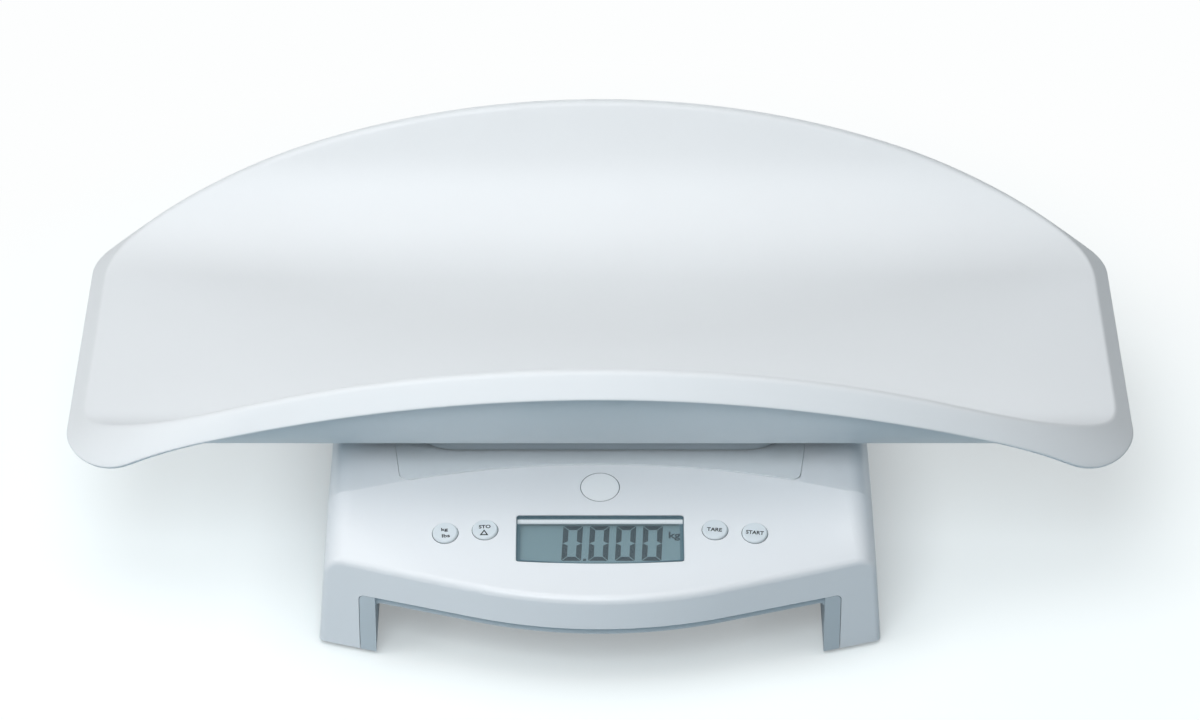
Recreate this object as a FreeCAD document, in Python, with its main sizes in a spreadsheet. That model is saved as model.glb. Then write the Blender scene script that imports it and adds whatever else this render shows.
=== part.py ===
"""Digital baby weighing scale: a removable rocking-chair-shaped tray on a low
electronic base. X runs along the tray, -Y is the front with the control panel,
Z is up, and the rubber feet stand on Z = 0. All sizes are millimetres."""
import FreeCAD, Part
import math
import os
import re
import Sketcher
from FreeCAD import Placement, Rotation, Vector

doc = FreeCAD.newDocument("baby_scale")
sheet = doc.addObject("Spreadsheet::Sheet", "Sizes")

SIZES = {
    "tray": dict(
        tray_centre_y=22, tray_floor_half=62.7, tray_bend=65, tray_wall_angle=69, crest_rise=72.4,
        crest_half=135.2, crest_arc=365, crest_bevel=4, tray_end_half=267.4, tray_corner=62,
        lip_angle=57, end_lip_angle=36, tray_skin=3, tray_total=9.5, lip_edge_drop=16.2,
        lip_edge_arc=580, lip_edge_turn=200, lip_edge_end_arc=260, lip_edge_blend=60, lip_end_drop=6.3),
    "underpan": dict(underpan_skin=2.5, tuck_gap=0.3, tray_boss=4.5),
    "saddle": dict(
        saddle_half_length=97, saddle_half_depth=87.6, saddle_corner=22, saddle_floor=3.2,
        saddle_height=9, saddle_rebate=1.2, seat_gap=0.3, peg_length=8, peg_width=14, peg_thick=5, peg_x=60,
        peg_back=40, keeper_width=18, keeper_thick=4, keeper_length=13, keeper_front=80,
        keeper_head=2.5, keeper_head_z=2,
        tray_screw_x=78, tray_screw_y=46, tray_screw=1.5, tray_screw_head=3,
        tray_screw_head_high=1.6, tray_screw_length=7.5),
    "platform": dict(
        plate_thick=2, plate_proud=0.8, plate_side=42, plate_bulge=7, plate_back=16,
        plate_corner=5, slot_gap=1.2),
    "housing": dict(
        base_front=167.7, base_depth=296, base_half=144, side_draft=4.37, front_arc=200,
        front_arc_half=63.5, leg_z=2, ridge_z=53.9, deck_z=74.2, deck_edge=91, deck_edge_arc=347,
        wall=2.8, back_corner=14, shoulder=12, front_round=4, leg_side=21.2, apron_z=35.6,
        arch_round=3, rib_thick=2, rib_deep=9, rib_side=59, boss_side=45, boss_front=62,
        boss_back=24, boss_radius=5, boss_bore=1.5),
    "bottom": dict(
        nest_gap=0.3, bottom_wall=2.5, rim_drop=5, rim_overlap=6, leg_inner_side=29.7,
        leg_inner_round=3, boss_top_z=46, foot_hole=10, case_screw_head=3,
        case_screw_head_high=2.5, case_screw_length=18, head_recess=8, head_gap=0.3),
    "battery": dict(
        pocket_half=54, pocket_depth=49, pocket_back=11, pocket_wall=1.8, door_gap=0.3,
        door_thick=3, door_tongue=2, door_tongue_thick=1, door_tongue_drop=0.4, rail_block=5,
        cell_radius=7.1, cell_length=50, cell_rows=3, contact_thick=0.4, contact_high=11,
        contact_spring=3),
    "feet": dict(
        foot_side=16.6, foot_front=56, foot_back=24, pad_radius=9, pad_high=4, pad_round=1,
        post_radius=4.5, bar_length=44, bar_width=12, bar_high=9, bar_z=11, bar_hole=2.5,
        bar_hole_spacing=10, bar_inset=7, mount_length=12),
    "display": dict(
        window_half=42.5, window_front=24, window_back=56.3, window_bow=2.1,
        window_corner=1.5, window_thick=1.6, window_ledge=1.6,
        window_fit=0.15, glass_drop=0.6, glass_thick=2.4, glass_lap=1.1, frame_wall=1.5,
        frame_high=6.5, strip_width=3, board_thick=1.6, board_half=46, board_depth=38),
    "keys": dict(
        key_radius=6.45, key_inner_x=58.4, key_inner_front=46.8, key_outer_x=78.6,
        key_outer_front=45.2, key_gap=0.35, key_proud=1.2, key_round=0.7, key_seat=0.4,
        key_flange=1.2, key_flange_thick=1, key_stem=2.5, key_stem_radius=2, switch_side=6,
        switch_high=3.4, switch_gap=1.1, key_board_half=20, key_board_depth=22,
        key_board_thick=1.2, key_post=1.5, key_post_y=8.5),
    "release": dict(
        button_radius=9.75, button_front=75.6, button_gap=0.4, button_thick=5.5,
        button_flange=1.6, button_flange_thick=1.2, stem_radius=4, stem_length=15,
        ramp_angle=45, ramp_half=5, slide_drop=9, slide_width=16, slide_thick=3, slide_length=45, slide_gap=0.3,
        ramp_width=8, tongue_thick=3, tongue_width=12, tongue_top_gap=1.9, cradle_wall=2,
        cradle_lip=1.5, cradle_back=98, cradle_spring=12, seat_deep=12, seat_thick=1.5, seat_half=9,
        spring_radius=2.4, spring_wire=0.4, spring_pitch=2.2, button_spring_radius=5.2,
        spring_runs=12),
}

ALIASES = {}
row = 1
for part_name, sizes in SIZES.items():
    sheet.set(f"A{row}", part_name)
    row += 1
    for alias, value in sizes.items():
        sheet.set(f"A{row}", alias)
        sheet.set(f"B{row}", str(value))
        sheet.setAlias(f"B{row}", alias)
        ALIASES[alias] = f"B{row}"
        row += 1
doc.recompute()


class Size:
    """Reads a size from the sheet by its name: size.wall."""
    def __getattr__(self, alias):
        return float(sheet.get(alias))


size = Size()
PARTS = []


def link(expression):
    """An expression on size names, as the document's expression engine reads it."""
    return re.sub(r"[a-z_]{3,}", lambda m: "Sizes." + m[0] if m[0] in ALIASES else m[0], expression)


def value(expression):
    return float(sheet.evalExpression(link(expression)))


def bind(thing, **expressions):
    for name, expression in expressions.items():
        thing.setExpression(name.replace("__", "."), link(expression))


def keep(thing, label, placement=None):
    """Marks a finished sub-part: its label names its file."""
    thing.Label = label
    if placement is not None:
        thing.Placement = placement
    PARTS.append(thing)
    return thing


def keep_shape(label, shape, placement=None):
    """A moulded sub-part whose shape comes from this file's own functions."""
    thing = doc.addObject("Part::Feature", label)
    thing.Shape = shape.removeSplitter()
    return keep(thing, label, placement)


# ---- sketches, pads and turned pieces ------------------------------------------------

def sketch_on(body, role, name, loops, height="0"):
    """A sketch of closed polygons and circles, each coordinate bound to the sheet."""
    sketch = body.newObject("Sketcher::SketchObject", name)
    plane = [f for f in body.Origin.OriginFeatures if f.Role == role][0]
    sketch.AttachmentSupport = (plane, [""])
    sketch.MapMode = "FlatFace"
    if height != "0":
        bind(sketch, AttachmentOffset__Base__z=height)
    for loop in loops:
        if loop[0] == "circle":
            draw_circle(sketch, *loop[1:])
        else:
            draw_polygon(sketch, loop)
    return sketch


def pin(sketch, edge, end, x, y):
    """Ties one point of a sketch to its two coordinates."""
    for kind, expression, axis in (("DistanceX", x, -2), ("DistanceY", y, -1)):
        if expression == "0":
            sketch.addConstraint(Sketcher.Constraint("PointOnObject", edge, end, axis))
        else:
            there = Sketcher.Constraint(kind, -1, 1, edge, end, value(expression))
            index = sketch.addConstraint(there)
            sketch.setExpression(f"Constraints[{index}]", link(expression))


def draw_polygon(sketch, points):
    first = sketch.GeometryCount
    spots = [Vector(value(x), value(y), 0) for x, y in points]
    count = len(spots)
    for i in range(count):
        sketch.addGeometry(Part.LineSegment(spots[i], spots[(i + 1) % count]))
    for i in range(count):
        after = first + (i + 1) % count
        sketch.addConstraint(Sketcher.Constraint("Coincident", first + i, 2, after, 1))
    for i, (x, y) in enumerate(points):
        pin(sketch, first + i, 1, x, y)


def draw_circle(sketch, x, y, radius):
    edge = sketch.GeometryCount
    centre = Vector(value(x), value(y), 0)
    sketch.addGeometry(Part.Circle(centre, Vector(0, 0, 1), value(radius)))
    pin(sketch, edge, 3, x, y)
    index = sketch.addConstraint(Sketcher.Constraint("Radius", edge, value(radius)))
    sketch.setExpression(f"Constraints[{index}]", link(radius))


def padded(label, loops, low, high, role="XY_Plane"):
    """A body whose section is padded from one level to another."""
    body = doc.addObject("PartDesign::Body", label)
    doc.recompute()
    sketch = sketch_on(body, role, label + "_section", loops, low)
    pad = body.newObject("PartDesign::Pad", label + "_pad")
    pad.Profile = sketch
    bind(pad, Length=f"({high}) - ({low})")
    doc.recompute()
    return body


def turned(label, profile):
    """A body turned round its Z axis from a profile of radius and height."""
    body = doc.addObject("PartDesign::Body", label)
    doc.recompute()
    sketch = sketch_on(body, "XZ_Plane", label + "_profile", [profile])
    spin = body.newObject("PartDesign::Revolution", label + "_turn")
    spin.Profile = sketch
    spin.ReferenceAxis = (sketch, ["V_Axis"])
    spin.Angle = 360
    doc.recompute()
    return body


def rectangle(left, right, low, high):
    return [(left, low), (right, low), (right, high), (left, high)]


# ---- geometry helpers ----------------------------------------------------------------

def spots_on(edge):
    """Both ends and the middle of an edge."""
    first, last = edge.FirstParameter, edge.LastParameter
    return edge.valueAt(first), edge.valueAt(last), edge.valueAt((first + last) / 2)


def edges(shape, test):
    return [e for e in shape.Edges if test(*spots_on(e))]


def line(a, b):
    return Part.makeLine(a, b)


def arc(a, middle, b):
    return Part.Arc(a, middle, b).toShape()


def prism(path, direction):
    """A closed path of edges, filled and extruded."""
    return Part.Face(Part.Wire(path)).extrude(direction)


def block(x, y, z, placement=None):
    """A box between low and high limits on each axis."""
    box = Part.makeBox(x[1] - x[0], y[1] - y[0], z[1] - z[0], Vector(x[0], y[0], z[0]))
    if placement is not None:
        box.Placement = placement.multiply(box.Placement)
    return box


def rod(radius, low, high, x=0, y=0, placement=None):
    """An upright cylinder between two levels."""
    cylinder = Part.makeCylinder(radius, high - low, Vector(x, y, low))
    if placement is not None:
        cylinder.Placement = placement.multiply(cylinder.Placement)
    return cylinder


def mirrored(point):
    return Vector(-point.x, point.y, point.z)


def behind(distance):
    """The Y of something that lies this far behind the middle of the base's front."""
    return distance - size.base_front


def ahead(distance):
    """The Y of something that lies this far ahead of the base's back."""
    return behind(size.base_depth) - distance


# ---- levels, from the floor up ---------------------------------------------------------

PLATE_TOP = size.deck_z + size.plate_proud
SADDLE_BOTTOM = PLATE_TOP + size.seat_gap
PAN_BOTTOM = SADDLE_BOTTOM + size.saddle_floor
TRAY_FLOOR = PAN_BOTTOM + size.tray_total
CREST = TRAY_FLOOR + size.crest_rise
RIM_BOTTOM = size.apron_z - size.rim_drop
FLOOR_TOP = RIM_BOTTOM + size.bottom_wall
BOTTOM_INSET = size.wall + size.nest_gap
FAR = 2 * size.tray_end_half
WALL_ANGLE = math.radians(size.tray_wall_angle)
LIP_ANGLE = math.radians(size.lip_angle)
END_LIP_ANGLE = math.radians(size.end_lip_angle)


# ---- tray ------------------------------------------------------------------------------

def trough(outward):
    """All that lies above the trough's surface when it is moved outward by a skin."""
    radius = size.tray_bend + outward
    floor = TRAY_FLOOR - outward
    top = CREST + radius / 2

    def spot(half, z):
        return Vector(-FAR, size.tray_centre_y + half, z)

    def on_bend(angle):
        return size.tray_floor_half + radius * math.sin(angle), floor + radius * (1 - math.cos(angle))

    bend_half, bend_z = on_bend(WALL_ANGLE)
    middle_half, middle_z = on_bend(WALL_ANGLE / 2)
    top_half = bend_half + (top - bend_z) / math.tan(WALL_ANGLE)
    path = [line(spot(-size.tray_floor_half, floor), spot(size.tray_floor_half, floor)),
            line(spot(top_half, top), spot(-top_half, top))]
    for side in (1, -1):
        path.append(arc(spot(side * size.tray_floor_half, floor), spot(side * middle_half, middle_z),
                        spot(side * bend_half, bend_z)))
        path.append(line(spot(side * bend_half, bend_z), spot(side * top_half, top)))
    return prism(Part.__sortEdges__(path), Vector(2 * FAR, 0, 0))


def under_lip(side, inward):
    """What lies under the front or back lip, an arched slope falling away from the tray."""
    radius = size.crest_arc
    top = CREST - inward / math.cos(LIP_ANGLE)
    reach = 0.9 * radius
    shoulder = top - radius + math.sqrt(radius ** 2 - reach ** 2)
    deep = -4 * radius

    def spot(x, z):
        return Vector(x, size.tray_centre_y + side * size.crest_half, z)

    face = Part.Face(Part.Wire([
        line(spot(-reach, deep), spot(reach, deep)), line(spot(reach, deep), spot(reach, shoulder)),
        arc(spot(reach, shoulder), spot(0, top), spot(-reach, shoulder)),
        line(spot(-reach, shoulder), spot(-reach, deep))]))
    slope = Vector(0, side * math.cos(LIP_ANGLE), -math.sin(LIP_ANGLE))
    inside = 5 * size.crest_half
    face.translate(slope * -inside)
    return face.extrude(slope * (inside + size.crest_half))


def between_ends(inward):
    """What lies between the two end lips, from below the tray to above its crest."""
    half = size.tray_end_half - inward / math.sin(END_LIP_ANGLE)
    low, high = TRAY_FLOOR - 2 * size.lip_end_drop, CREST + size.tray_total
    low_half = half + (TRAY_FLOOR - low) / math.tan(END_LIP_ANGLE)
    high_half = half + (TRAY_FLOOR - high) / math.tan(END_LIP_ANGLE)
    y = size.tray_centre_y - FAR
    corners = [Vector(-low_half, y, low), Vector(low_half, y, low),
               Vector(high_half, y, high), Vector(-high_half, y, high)]
    path = [line(corners[i], corners[(i + 1) % 4]) for i in range(4)]
    return prism(path, Vector(0, 2 * FAR, 0))


def lip_hull(inward):
    """The solid inside all four lips, with rounded corners."""
    hull = under_lip(-1, inward).common(under_lip(1, inward)).common(between_ends(inward)).Solids[0]
    corners = edges(hull, lambda a, b, m: abs(a.z - b.z) > size.crest_rise / 2 and abs(m.x) > size.crest_half)
    return hull.makeFillet(size.tray_corner - inward, corners)


def under_lip_edge():
    """Everything below the lip's lower edge, which arches over the base and levels at the ends."""
    edge_arc, end_arc, blend = size.lip_edge_arc, size.lip_edge_end_arc, size.lip_edge_blend
    top = CREST - size.lip_edge_drop
    level = TRAY_FLOOR - size.lip_end_drop
    turn = size.lip_edge_turn
    turn_z = top - edge_arc + math.sqrt(edge_arc ** 2 - turn ** 2)
    share = end_arc / edge_arc
    centre_x, centre_z = turn * (1 - share), turn_z - (turn_z - top + edge_arc) * share
    run = math.sqrt((end_arc + blend) ** 2 - (level + blend - centre_z) ** 2)
    flat_x = centre_x + run
    meet = end_arc / (end_arc + blend)
    meet_x, meet_z = centre_x + run * meet, centre_z + (level + blend - centre_z) * meet
    lean = math.atan2(meet_x - flat_x, level + blend - meet_z) / 2
    half_x = (turn + meet_x) / 2

    def spot(x, z):
        return Vector(x, size.tray_centre_y - FAR, z)

    turn_spot, meet_spot, flat_spot = spot(turn, turn_z), spot(meet_x, meet_z), spot(flat_x, level)
    end_middle = spot(half_x, centre_z + math.sqrt(end_arc ** 2 - (half_x - centre_x) ** 2))
    blend_middle = spot(flat_x + blend * math.sin(lean), level + blend - blend * math.cos(lean))
    far_spot, deep_spot = spot(FAR, level), spot(FAR, level - size.crest_rise)
    path = [arc(mirrored(turn_spot), spot(0, top), turn_spot), line(deep_spot, mirrored(deep_spot))]
    for flip in (lambda p: p, mirrored):
        path += [arc(flip(turn_spot), flip(end_middle), flip(meet_spot)),
                 arc(flip(meet_spot), flip(blend_middle), flip(flat_spot)),
                 line(flip(flat_spot), flip(far_spot)), line(flip(far_spot), flip(deep_spot))]
    return prism(Part.__sortEdges__(path), Vector(0, 2 * FAR, 0))


def on_hollow(point):
    """True where a point lies on the trough's inner surface."""
    half = abs(point.y - size.tray_centre_y) - size.tray_floor_half
    centre = TRAY_FLOOR + size.tray_bend
    if half <= 0:
        return abs(point.z - TRAY_FLOOR) < 0.01
    if half <= size.tray_bend * math.sin(WALL_ANGLE):
        return abs(math.hypot(half, point.z - centre) - size.tray_bend) < 0.01
    rise = (half - size.tray_bend * math.sin(WALL_ANGLE)) * math.tan(WALL_ANGLE)
    return abs(centre - size.tray_bend * math.cos(WALL_ANGLE) + rise - point.z) < 0.02


def tray_screws():
    """Where the four screws that clamp saddle, pan and tray stand."""
    return [(x, size.tray_centre_y + y) for x in (-size.tray_screw_x, size.tray_screw_x)
            for y in (-size.tray_screw_y, size.tray_screw_y)]


def make_tray():
    outer = lip_hull(0)
    lip = outer.cut(lip_hull(size.tray_skin)).cut(under_lip_edge())
    skin = outer.common(trough(size.tray_skin))
    shell = lip.fuse(skin).cut(trough(0)).removeSplitter().Solids[0]
    crest = [e for e in edges(shell, lambda a, b, m: on_hollow(a) and on_hollow(b) and on_hollow(m))
             if outer.distToShape(Part.Vertex(spots_on(e)[2]))[0] < 0.01
             and not outer.isInside(spots_on(e)[2], 0.005, False)]
    shell = shell.makeChamfer(size.crest_bevel, crest)
    screw_top = SADDLE_BOTTOM + size.tray_screw_head_high + size.tray_screw_length
    for x, y in tray_screws():
        pan_top = PAN_BOTTOM + size.underpan_skin
        shell = shell.fuse(rod(size.tray_boss, pan_top, TRAY_FLOOR - size.tray_skin / 2, x, y))
        shell = shell.cut(rod(size.tray_screw, pan_top - 1, screw_top, x, y))
    return shell


def make_underpan():
    hull = lip_hull(size.tray_skin + size.tuck_gap)
    pan = hull.common(trough(size.tray_total)).cut(trough(size.tray_total - size.underpan_skin))
    for x, y in tray_screws():
        pan = pan.cut(rod(size.tray_screw, PAN_BOTTOM - 1, TRAY_FLOOR, x, y))
    return pan


def make_keeper():
    """The blade that the latch holds, hung by its wider head in a slot through the saddle."""
    half, thick, head = size.keeper_width / 2, size.keeper_thick / 2, size.keeper_head
    y = size.tray_centre_y - size.keeper_front
    deep, high = (y - thick, y + thick), SADDLE_BOTTOM + size.saddle_height
    blade = block((-half, half), deep, (SADDLE_BOTTOM - size.keeper_length, high))
    blade = blade.fuse(block((-half - head, half + head), deep, (SADDLE_BOTTOM + size.keeper_head_z, high)))
    return blade.cut(trough(size.tray_total))


def saddle_slab(inset, low, high):
    """The saddle's plan moved inward, between two levels."""
    half_x, half_y = size.saddle_half_length - inset, size.saddle_half_depth - inset
    slab = block((-half_x, half_x), (size.tray_centre_y - half_y, size.tray_centre_y + half_y), (low, high))
    upright = edges(slab, lambda a, b, m: abs(a.z - b.z) > (high - low) / 2)
    return slab.makeFillet(size.saddle_corner - inset, upright)


def make_saddle():
    low = SADDLE_BOTTOM
    saddle = saddle_slab(0, low + size.saddle_rebate, low + size.saddle_height)
    saddle = saddle.fuse(saddle_slab(size.saddle_rebate, low, low + size.saddle_rebate))
    saddle = saddle.cut(trough(size.tray_total))
    back = size.tray_centre_y + size.peg_back
    for x in (-size.peg_x, size.peg_x):
        peg = block((x - size.peg_width / 2, x + size.peg_width / 2),
                    (back - size.peg_thick / 2, back + size.peg_thick / 2), (low - size.peg_length, low + 1))
        saddle = saddle.fuse(peg)
    saddle = saddle.cut(make_keeper())
    for x, y in tray_screws():
        saddle = saddle.cut(rod(size.tray_screw, low - 1, PAN_BOTTOM + 1, x, y))
        saddle = saddle.cut(rod(size.tray_screw_head, low - 1, low + size.tray_screw_head_high, x, y))
    return saddle


def make_tray_screw_set():
    seat = SADDLE_BOTTOM + size.tray_screw_head_high
    screws = []
    for x, y in tray_screws():
        head = rod(size.tray_screw_head, SADDLE_BOTTOM, seat, x, y)
        screws.append(head.fuse(rod(size.tray_screw, seat, seat + size.tray_screw_length, x, y)))
    return Part.makeCompound(screws)


keep_shape("tray_shell", make_tray())
keep_shape("tray_underpan", make_underpan())
keep_shape("tray_saddle", make_saddle())
keep_shape("tray_keeper", make_keeper())
keep_shape("tray_screws", make_tray_screw_set())


# ---- base housing ------------------------------------------------------------------------

def half_width(z, inset):
    """Half the base's width at a height: its sides lean in."""
    return size.base_half - inset - (z - size.leg_z) * math.tan(math.radians(size.side_draft))


def front_path(z, inset, half):
    """The front's plan curve: a shallow arc running on in straight lines to both sides."""
    sweep = math.asin(size.front_arc_half / size.front_arc)
    radius = size.front_arc - inset
    centre = behind(size.front_arc)
    arc_half = radius * math.sin(sweep)
    arc_y = centre - radius * math.cos(sweep)
    end_y = arc_y + (half - arc_half) * math.tan(sweep)
    spots = [Vector(-half, end_y, z), Vector(-arc_half, arc_y, z), Vector(0, centre - radius, z),
             Vector(arc_half, arc_y, z), Vector(half, end_y, z)]
    return spots, [line(spots[0], spots[1]), arc(*spots[1:4]), line(spots[3], spots[4])]


def deck_y(x):
    """Y of the deck's front edge, a wide arc."""
    return behind(size.deck_edge - size.deck_edge_arc) + math.sqrt(size.deck_edge_arc ** 2 - x ** 2)


def deck_path(z, half, split):
    """The deck's front edge in as many pieces as the front's plan curve has."""
    xs = [-half, -(half + split) / 2, -split, 0, split, (half + split) / 2, half]
    spots = [Vector(x, deck_y(x), z) for x in xs]
    return spots, [arc(*spots[i:i + 3]) for i in (0, 2, 4)]


def above_panel(inset):
    """Everything above the control panel, a ruled surface from the ridge up to the deck."""
    half = size.base_half * 1.2
    ridge, deck = size.ridge_z - inset, size.deck_z - inset
    wires = []
    for z, (spots, path) in ((ridge, front_path(ridge, inset, half)),
                             (deck, deck_path(deck, half, size.front_arc_half))):
        front = behind(-size.front_arc_half)
        corners = [Vector(half, front, z), Vector(-half, front, z)]
        wires.append(Part.Wire(path + [line(spots[-1], corners[0]), line(*corners), line(corners[1], spots[0])]))
    return Part.makeLoft(wires, True, True)


def base_hull(inset, low, high, panel):
    """The base's outer form moved inward by an inset, between two levels."""
    half = size.base_half * 1.1
    back = behind(size.base_depth) - inset
    spots, path = front_path(low, inset, half)
    corners = [Vector(half, back, low), Vector(-half, back, low)]
    path += [line(spots[-1], corners[0]), line(*corners), line(corners[1], spots[0])]
    hull = prism(path, Vector(0, 0, high - low))
    corners = [Vector(-half_width(low, inset), behind(0), low), Vector(half_width(low, inset), behind(0), low),
               Vector(half_width(high, inset), behind(0), high), Vector(-half_width(high, inset), behind(0), high)]
    sides = prism([line(corners[i], corners[(i + 1) % 4]) for i in range(4)], Vector(0, size.base_depth, 0))
    hull = hull.common(sides)
    if panel:
        hull = hull.cut(above_panel(inset))
    hull = hull.removeSplitter().Solids[0]
    tall = (high - low) / 4
    upright = edges(hull, lambda a, b, m: abs(a.z - b.z) > tall and abs(m.y - back) < 0.1)
    return hull.makeFillet(size.back_corner - inset, upright)


def is_side(a, b, m, inset, deck):
    """True on the edges where the panel and the deck meet the sides or the back."""
    back = behind(size.base_depth) - inset
    on_side = abs(abs(m.x) - half_width(m.z, inset)) < 0.3 and abs(a.y - b.y) > 3
    on_top = abs(m.z - deck) < 0.1 and m.y > back - size.back_corner
    return m.z > size.ridge_z - inset + 0.5 and (on_side or on_top)


def rounded_base(inset, low):
    """The closed housing form: shoulders rolled over, then the front face's whole outline."""
    deck = size.deck_z - inset
    hull = base_hull(inset, low, deck, True)
    return hull.makeFillet(size.shoulder - inset, edges(hull, lambda a, b, m: is_side(a, b, m, inset, deck)))


def on_front(point, inset):
    """True on the upright front face."""
    sweep = math.asin(size.front_arc_half / size.front_arc)
    radius = size.front_arc - inset
    x = abs(point.x)
    arc_half = radius * math.sin(sweep)
    centre = behind(size.front_arc)
    if x <= arc_half:
        return abs(centre - math.sqrt(radius ** 2 - x ** 2) - point.y) < 0.05
    return abs(centre - radius * math.cos(sweep) + (x - arc_half) * math.tan(sweep) - point.y) < 0.05


def front_outline(a, b, m):
    seam = abs(a.x - b.x) < 0.01 and abs(m.x) < size.front_arc_half + 1
    level = m.z > size.leg_z + 0.1
    return level and not seam and on_front(a, 0) and on_front(m, 0) and on_front(b, 0)


outer_form = rounded_base(0, size.leg_z)
outer_form = outer_form.makeFillet(size.front_round, edges(outer_form, front_outline))
inner_form = rounded_base(size.wall, size.leg_z - size.wall)


def panel_frame(x, y):
    """The place on the panel above a point, Z pointing out of the panel and Y up its slope."""
    upright = line(Vector(x, y, size.ridge_z / 2), Vector(x, y, size.deck_z * 2))
    spot = max((v.Point for v in outer_form.common(upright).Vertexes), key=lambda p: p.z)
    face = min(outer_form.Faces, key=lambda f: f.distToShape(Part.Vertex(spot))[0])
    normal = face.normalAt(*face.Surface.parameter(spot))
    if normal.z < 0:
        normal = -normal
    return Placement(spot, Rotation(Vector(1, 0, 0), Vector(0, 0, 0), normal, "ZXY"))


KEYS = {
    "key_left_outer": (-size.key_outer_x, behind(size.key_outer_front)),
    "key_left_inner": (-size.key_inner_x, behind(size.key_inner_front)),
    "key_right_inner": (size.key_inner_x, behind(size.key_inner_front)),
    "key_right_outer": (size.key_outer_x, behind(size.key_outer_front)),
}
BUTTON_FRAME = panel_frame(0, behind(size.button_front))
WINDOW_FRAME = panel_frame(0, behind((size.window_front + size.window_back) / 2))
WINDOW_HALF_Y = (size.window_back - size.window_front) / 2 / WINDOW_FRAME.Rotation.multVec(Vector(0, 1, 0)).y
KEY_BOARD_X = (size.key_inner_x + size.key_outer_x) / 2
KEY_BOARD_Y = behind((size.key_inner_front + size.key_outer_front) / 2)
ARCH_HALF = size.base_half - size.leg_side
KEY_DEEP = size.wall + size.key_seat + size.key_flange_thick
SWITCH_TOP = -KEY_DEEP - size.key_stem - size.switch_gap
KEY_BOARD_TOP = SWITCH_TOP - size.switch_high


def plate_prism(grow, low, high):
    """The platform plate's plan, its front edge on the deck's arc, its sides bowed out."""
    half = size.base_half - size.plate_side + grow
    back = ahead(size.plate_back) + grow
    front = deck_y(half) - grow
    bulge = half + size.plate_bulge
    path = [arc(Vector(-half, front, low), Vector(0, deck_y(0) - grow, low), Vector(half, front, low)),
            arc(Vector(half, front, low), Vector(bulge, (front + back) / 2, low), Vector(half, back, low)),
            line(Vector(half, back, low), Vector(-half, back, low)),
            arc(Vector(-half, back, low), Vector(-bulge, (front + back) / 2, low), Vector(-half, front, low))]
    plate = prism(path, Vector(0, 0, high - low))
    return plate.makeFillet(size.plate_corner, edges(plate, lambda a, b, m: abs(a.z - b.z) > (high - low) / 2))


def slots(low, high):
    """Openings that the saddle's pegs and keeper drop through."""
    gap = size.slot_gap
    back = size.tray_centre_y + size.peg_back
    front = size.tray_centre_y - size.keeper_front
    cuts = [block((-size.keeper_width / 2 - gap, size.keeper_width / 2 + gap),
                  (front - size.keeper_thick / 2 - gap, front + size.keeper_thick / 2 + gap), (low, high))]
    for x in (-size.peg_x, size.peg_x):
        cuts.append(block((x - size.peg_width / 2 - gap, x + size.peg_width / 2 + gap),
                          (back - size.peg_thick / 2 - gap, back + size.peg_thick / 2 + gap), (low, high)))
    return cuts


def case_screws():
    """Where the four long case screws stand."""
    boss_x = size.base_half - size.boss_side
    return [(x, y) for x in (-boss_x, boss_x) for y in (behind(size.boss_front), ahead(size.boss_back))]


def window_form(grow, low, high):
    """The window's outline: its front edge bowed like the panel's, its corners rounded."""
    half, half_y = size.window_half + grow, WINDOW_HALF_Y + grow
    side_y = size.window_bow - half_y
    corners = [Vector(-half, side_y, low), Vector(half, side_y, low), Vector(half, half_y, low),
               Vector(-half, half_y, low)]
    path = [arc(corners[0], Vector(0, -half_y, low), corners[1])]
    path += [line(corners[i], corners[(i + 1) % 4]) for i in (1, 2, 3)]
    form = prism(path, Vector(0, 0, high - low))
    form = form.makeFillet(size.window_corner, edges(form, lambda a, b, m: abs(a.z - b.z) > (high - low) / 2))
    form.Placement = WINDOW_FRAME
    return form


def arch(half, high, inner_round):
    """The way between the legs, open from front to back, its upper corners rounded."""
    gap = block((-half, half), (behind(-5), behind(size.base_depth + 5)), (-5, high))
    return gap.makeFillet(inner_round, edges(gap, lambda a, b, m: abs(a.y - b.y) > 9 and m.z > 0))


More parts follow.
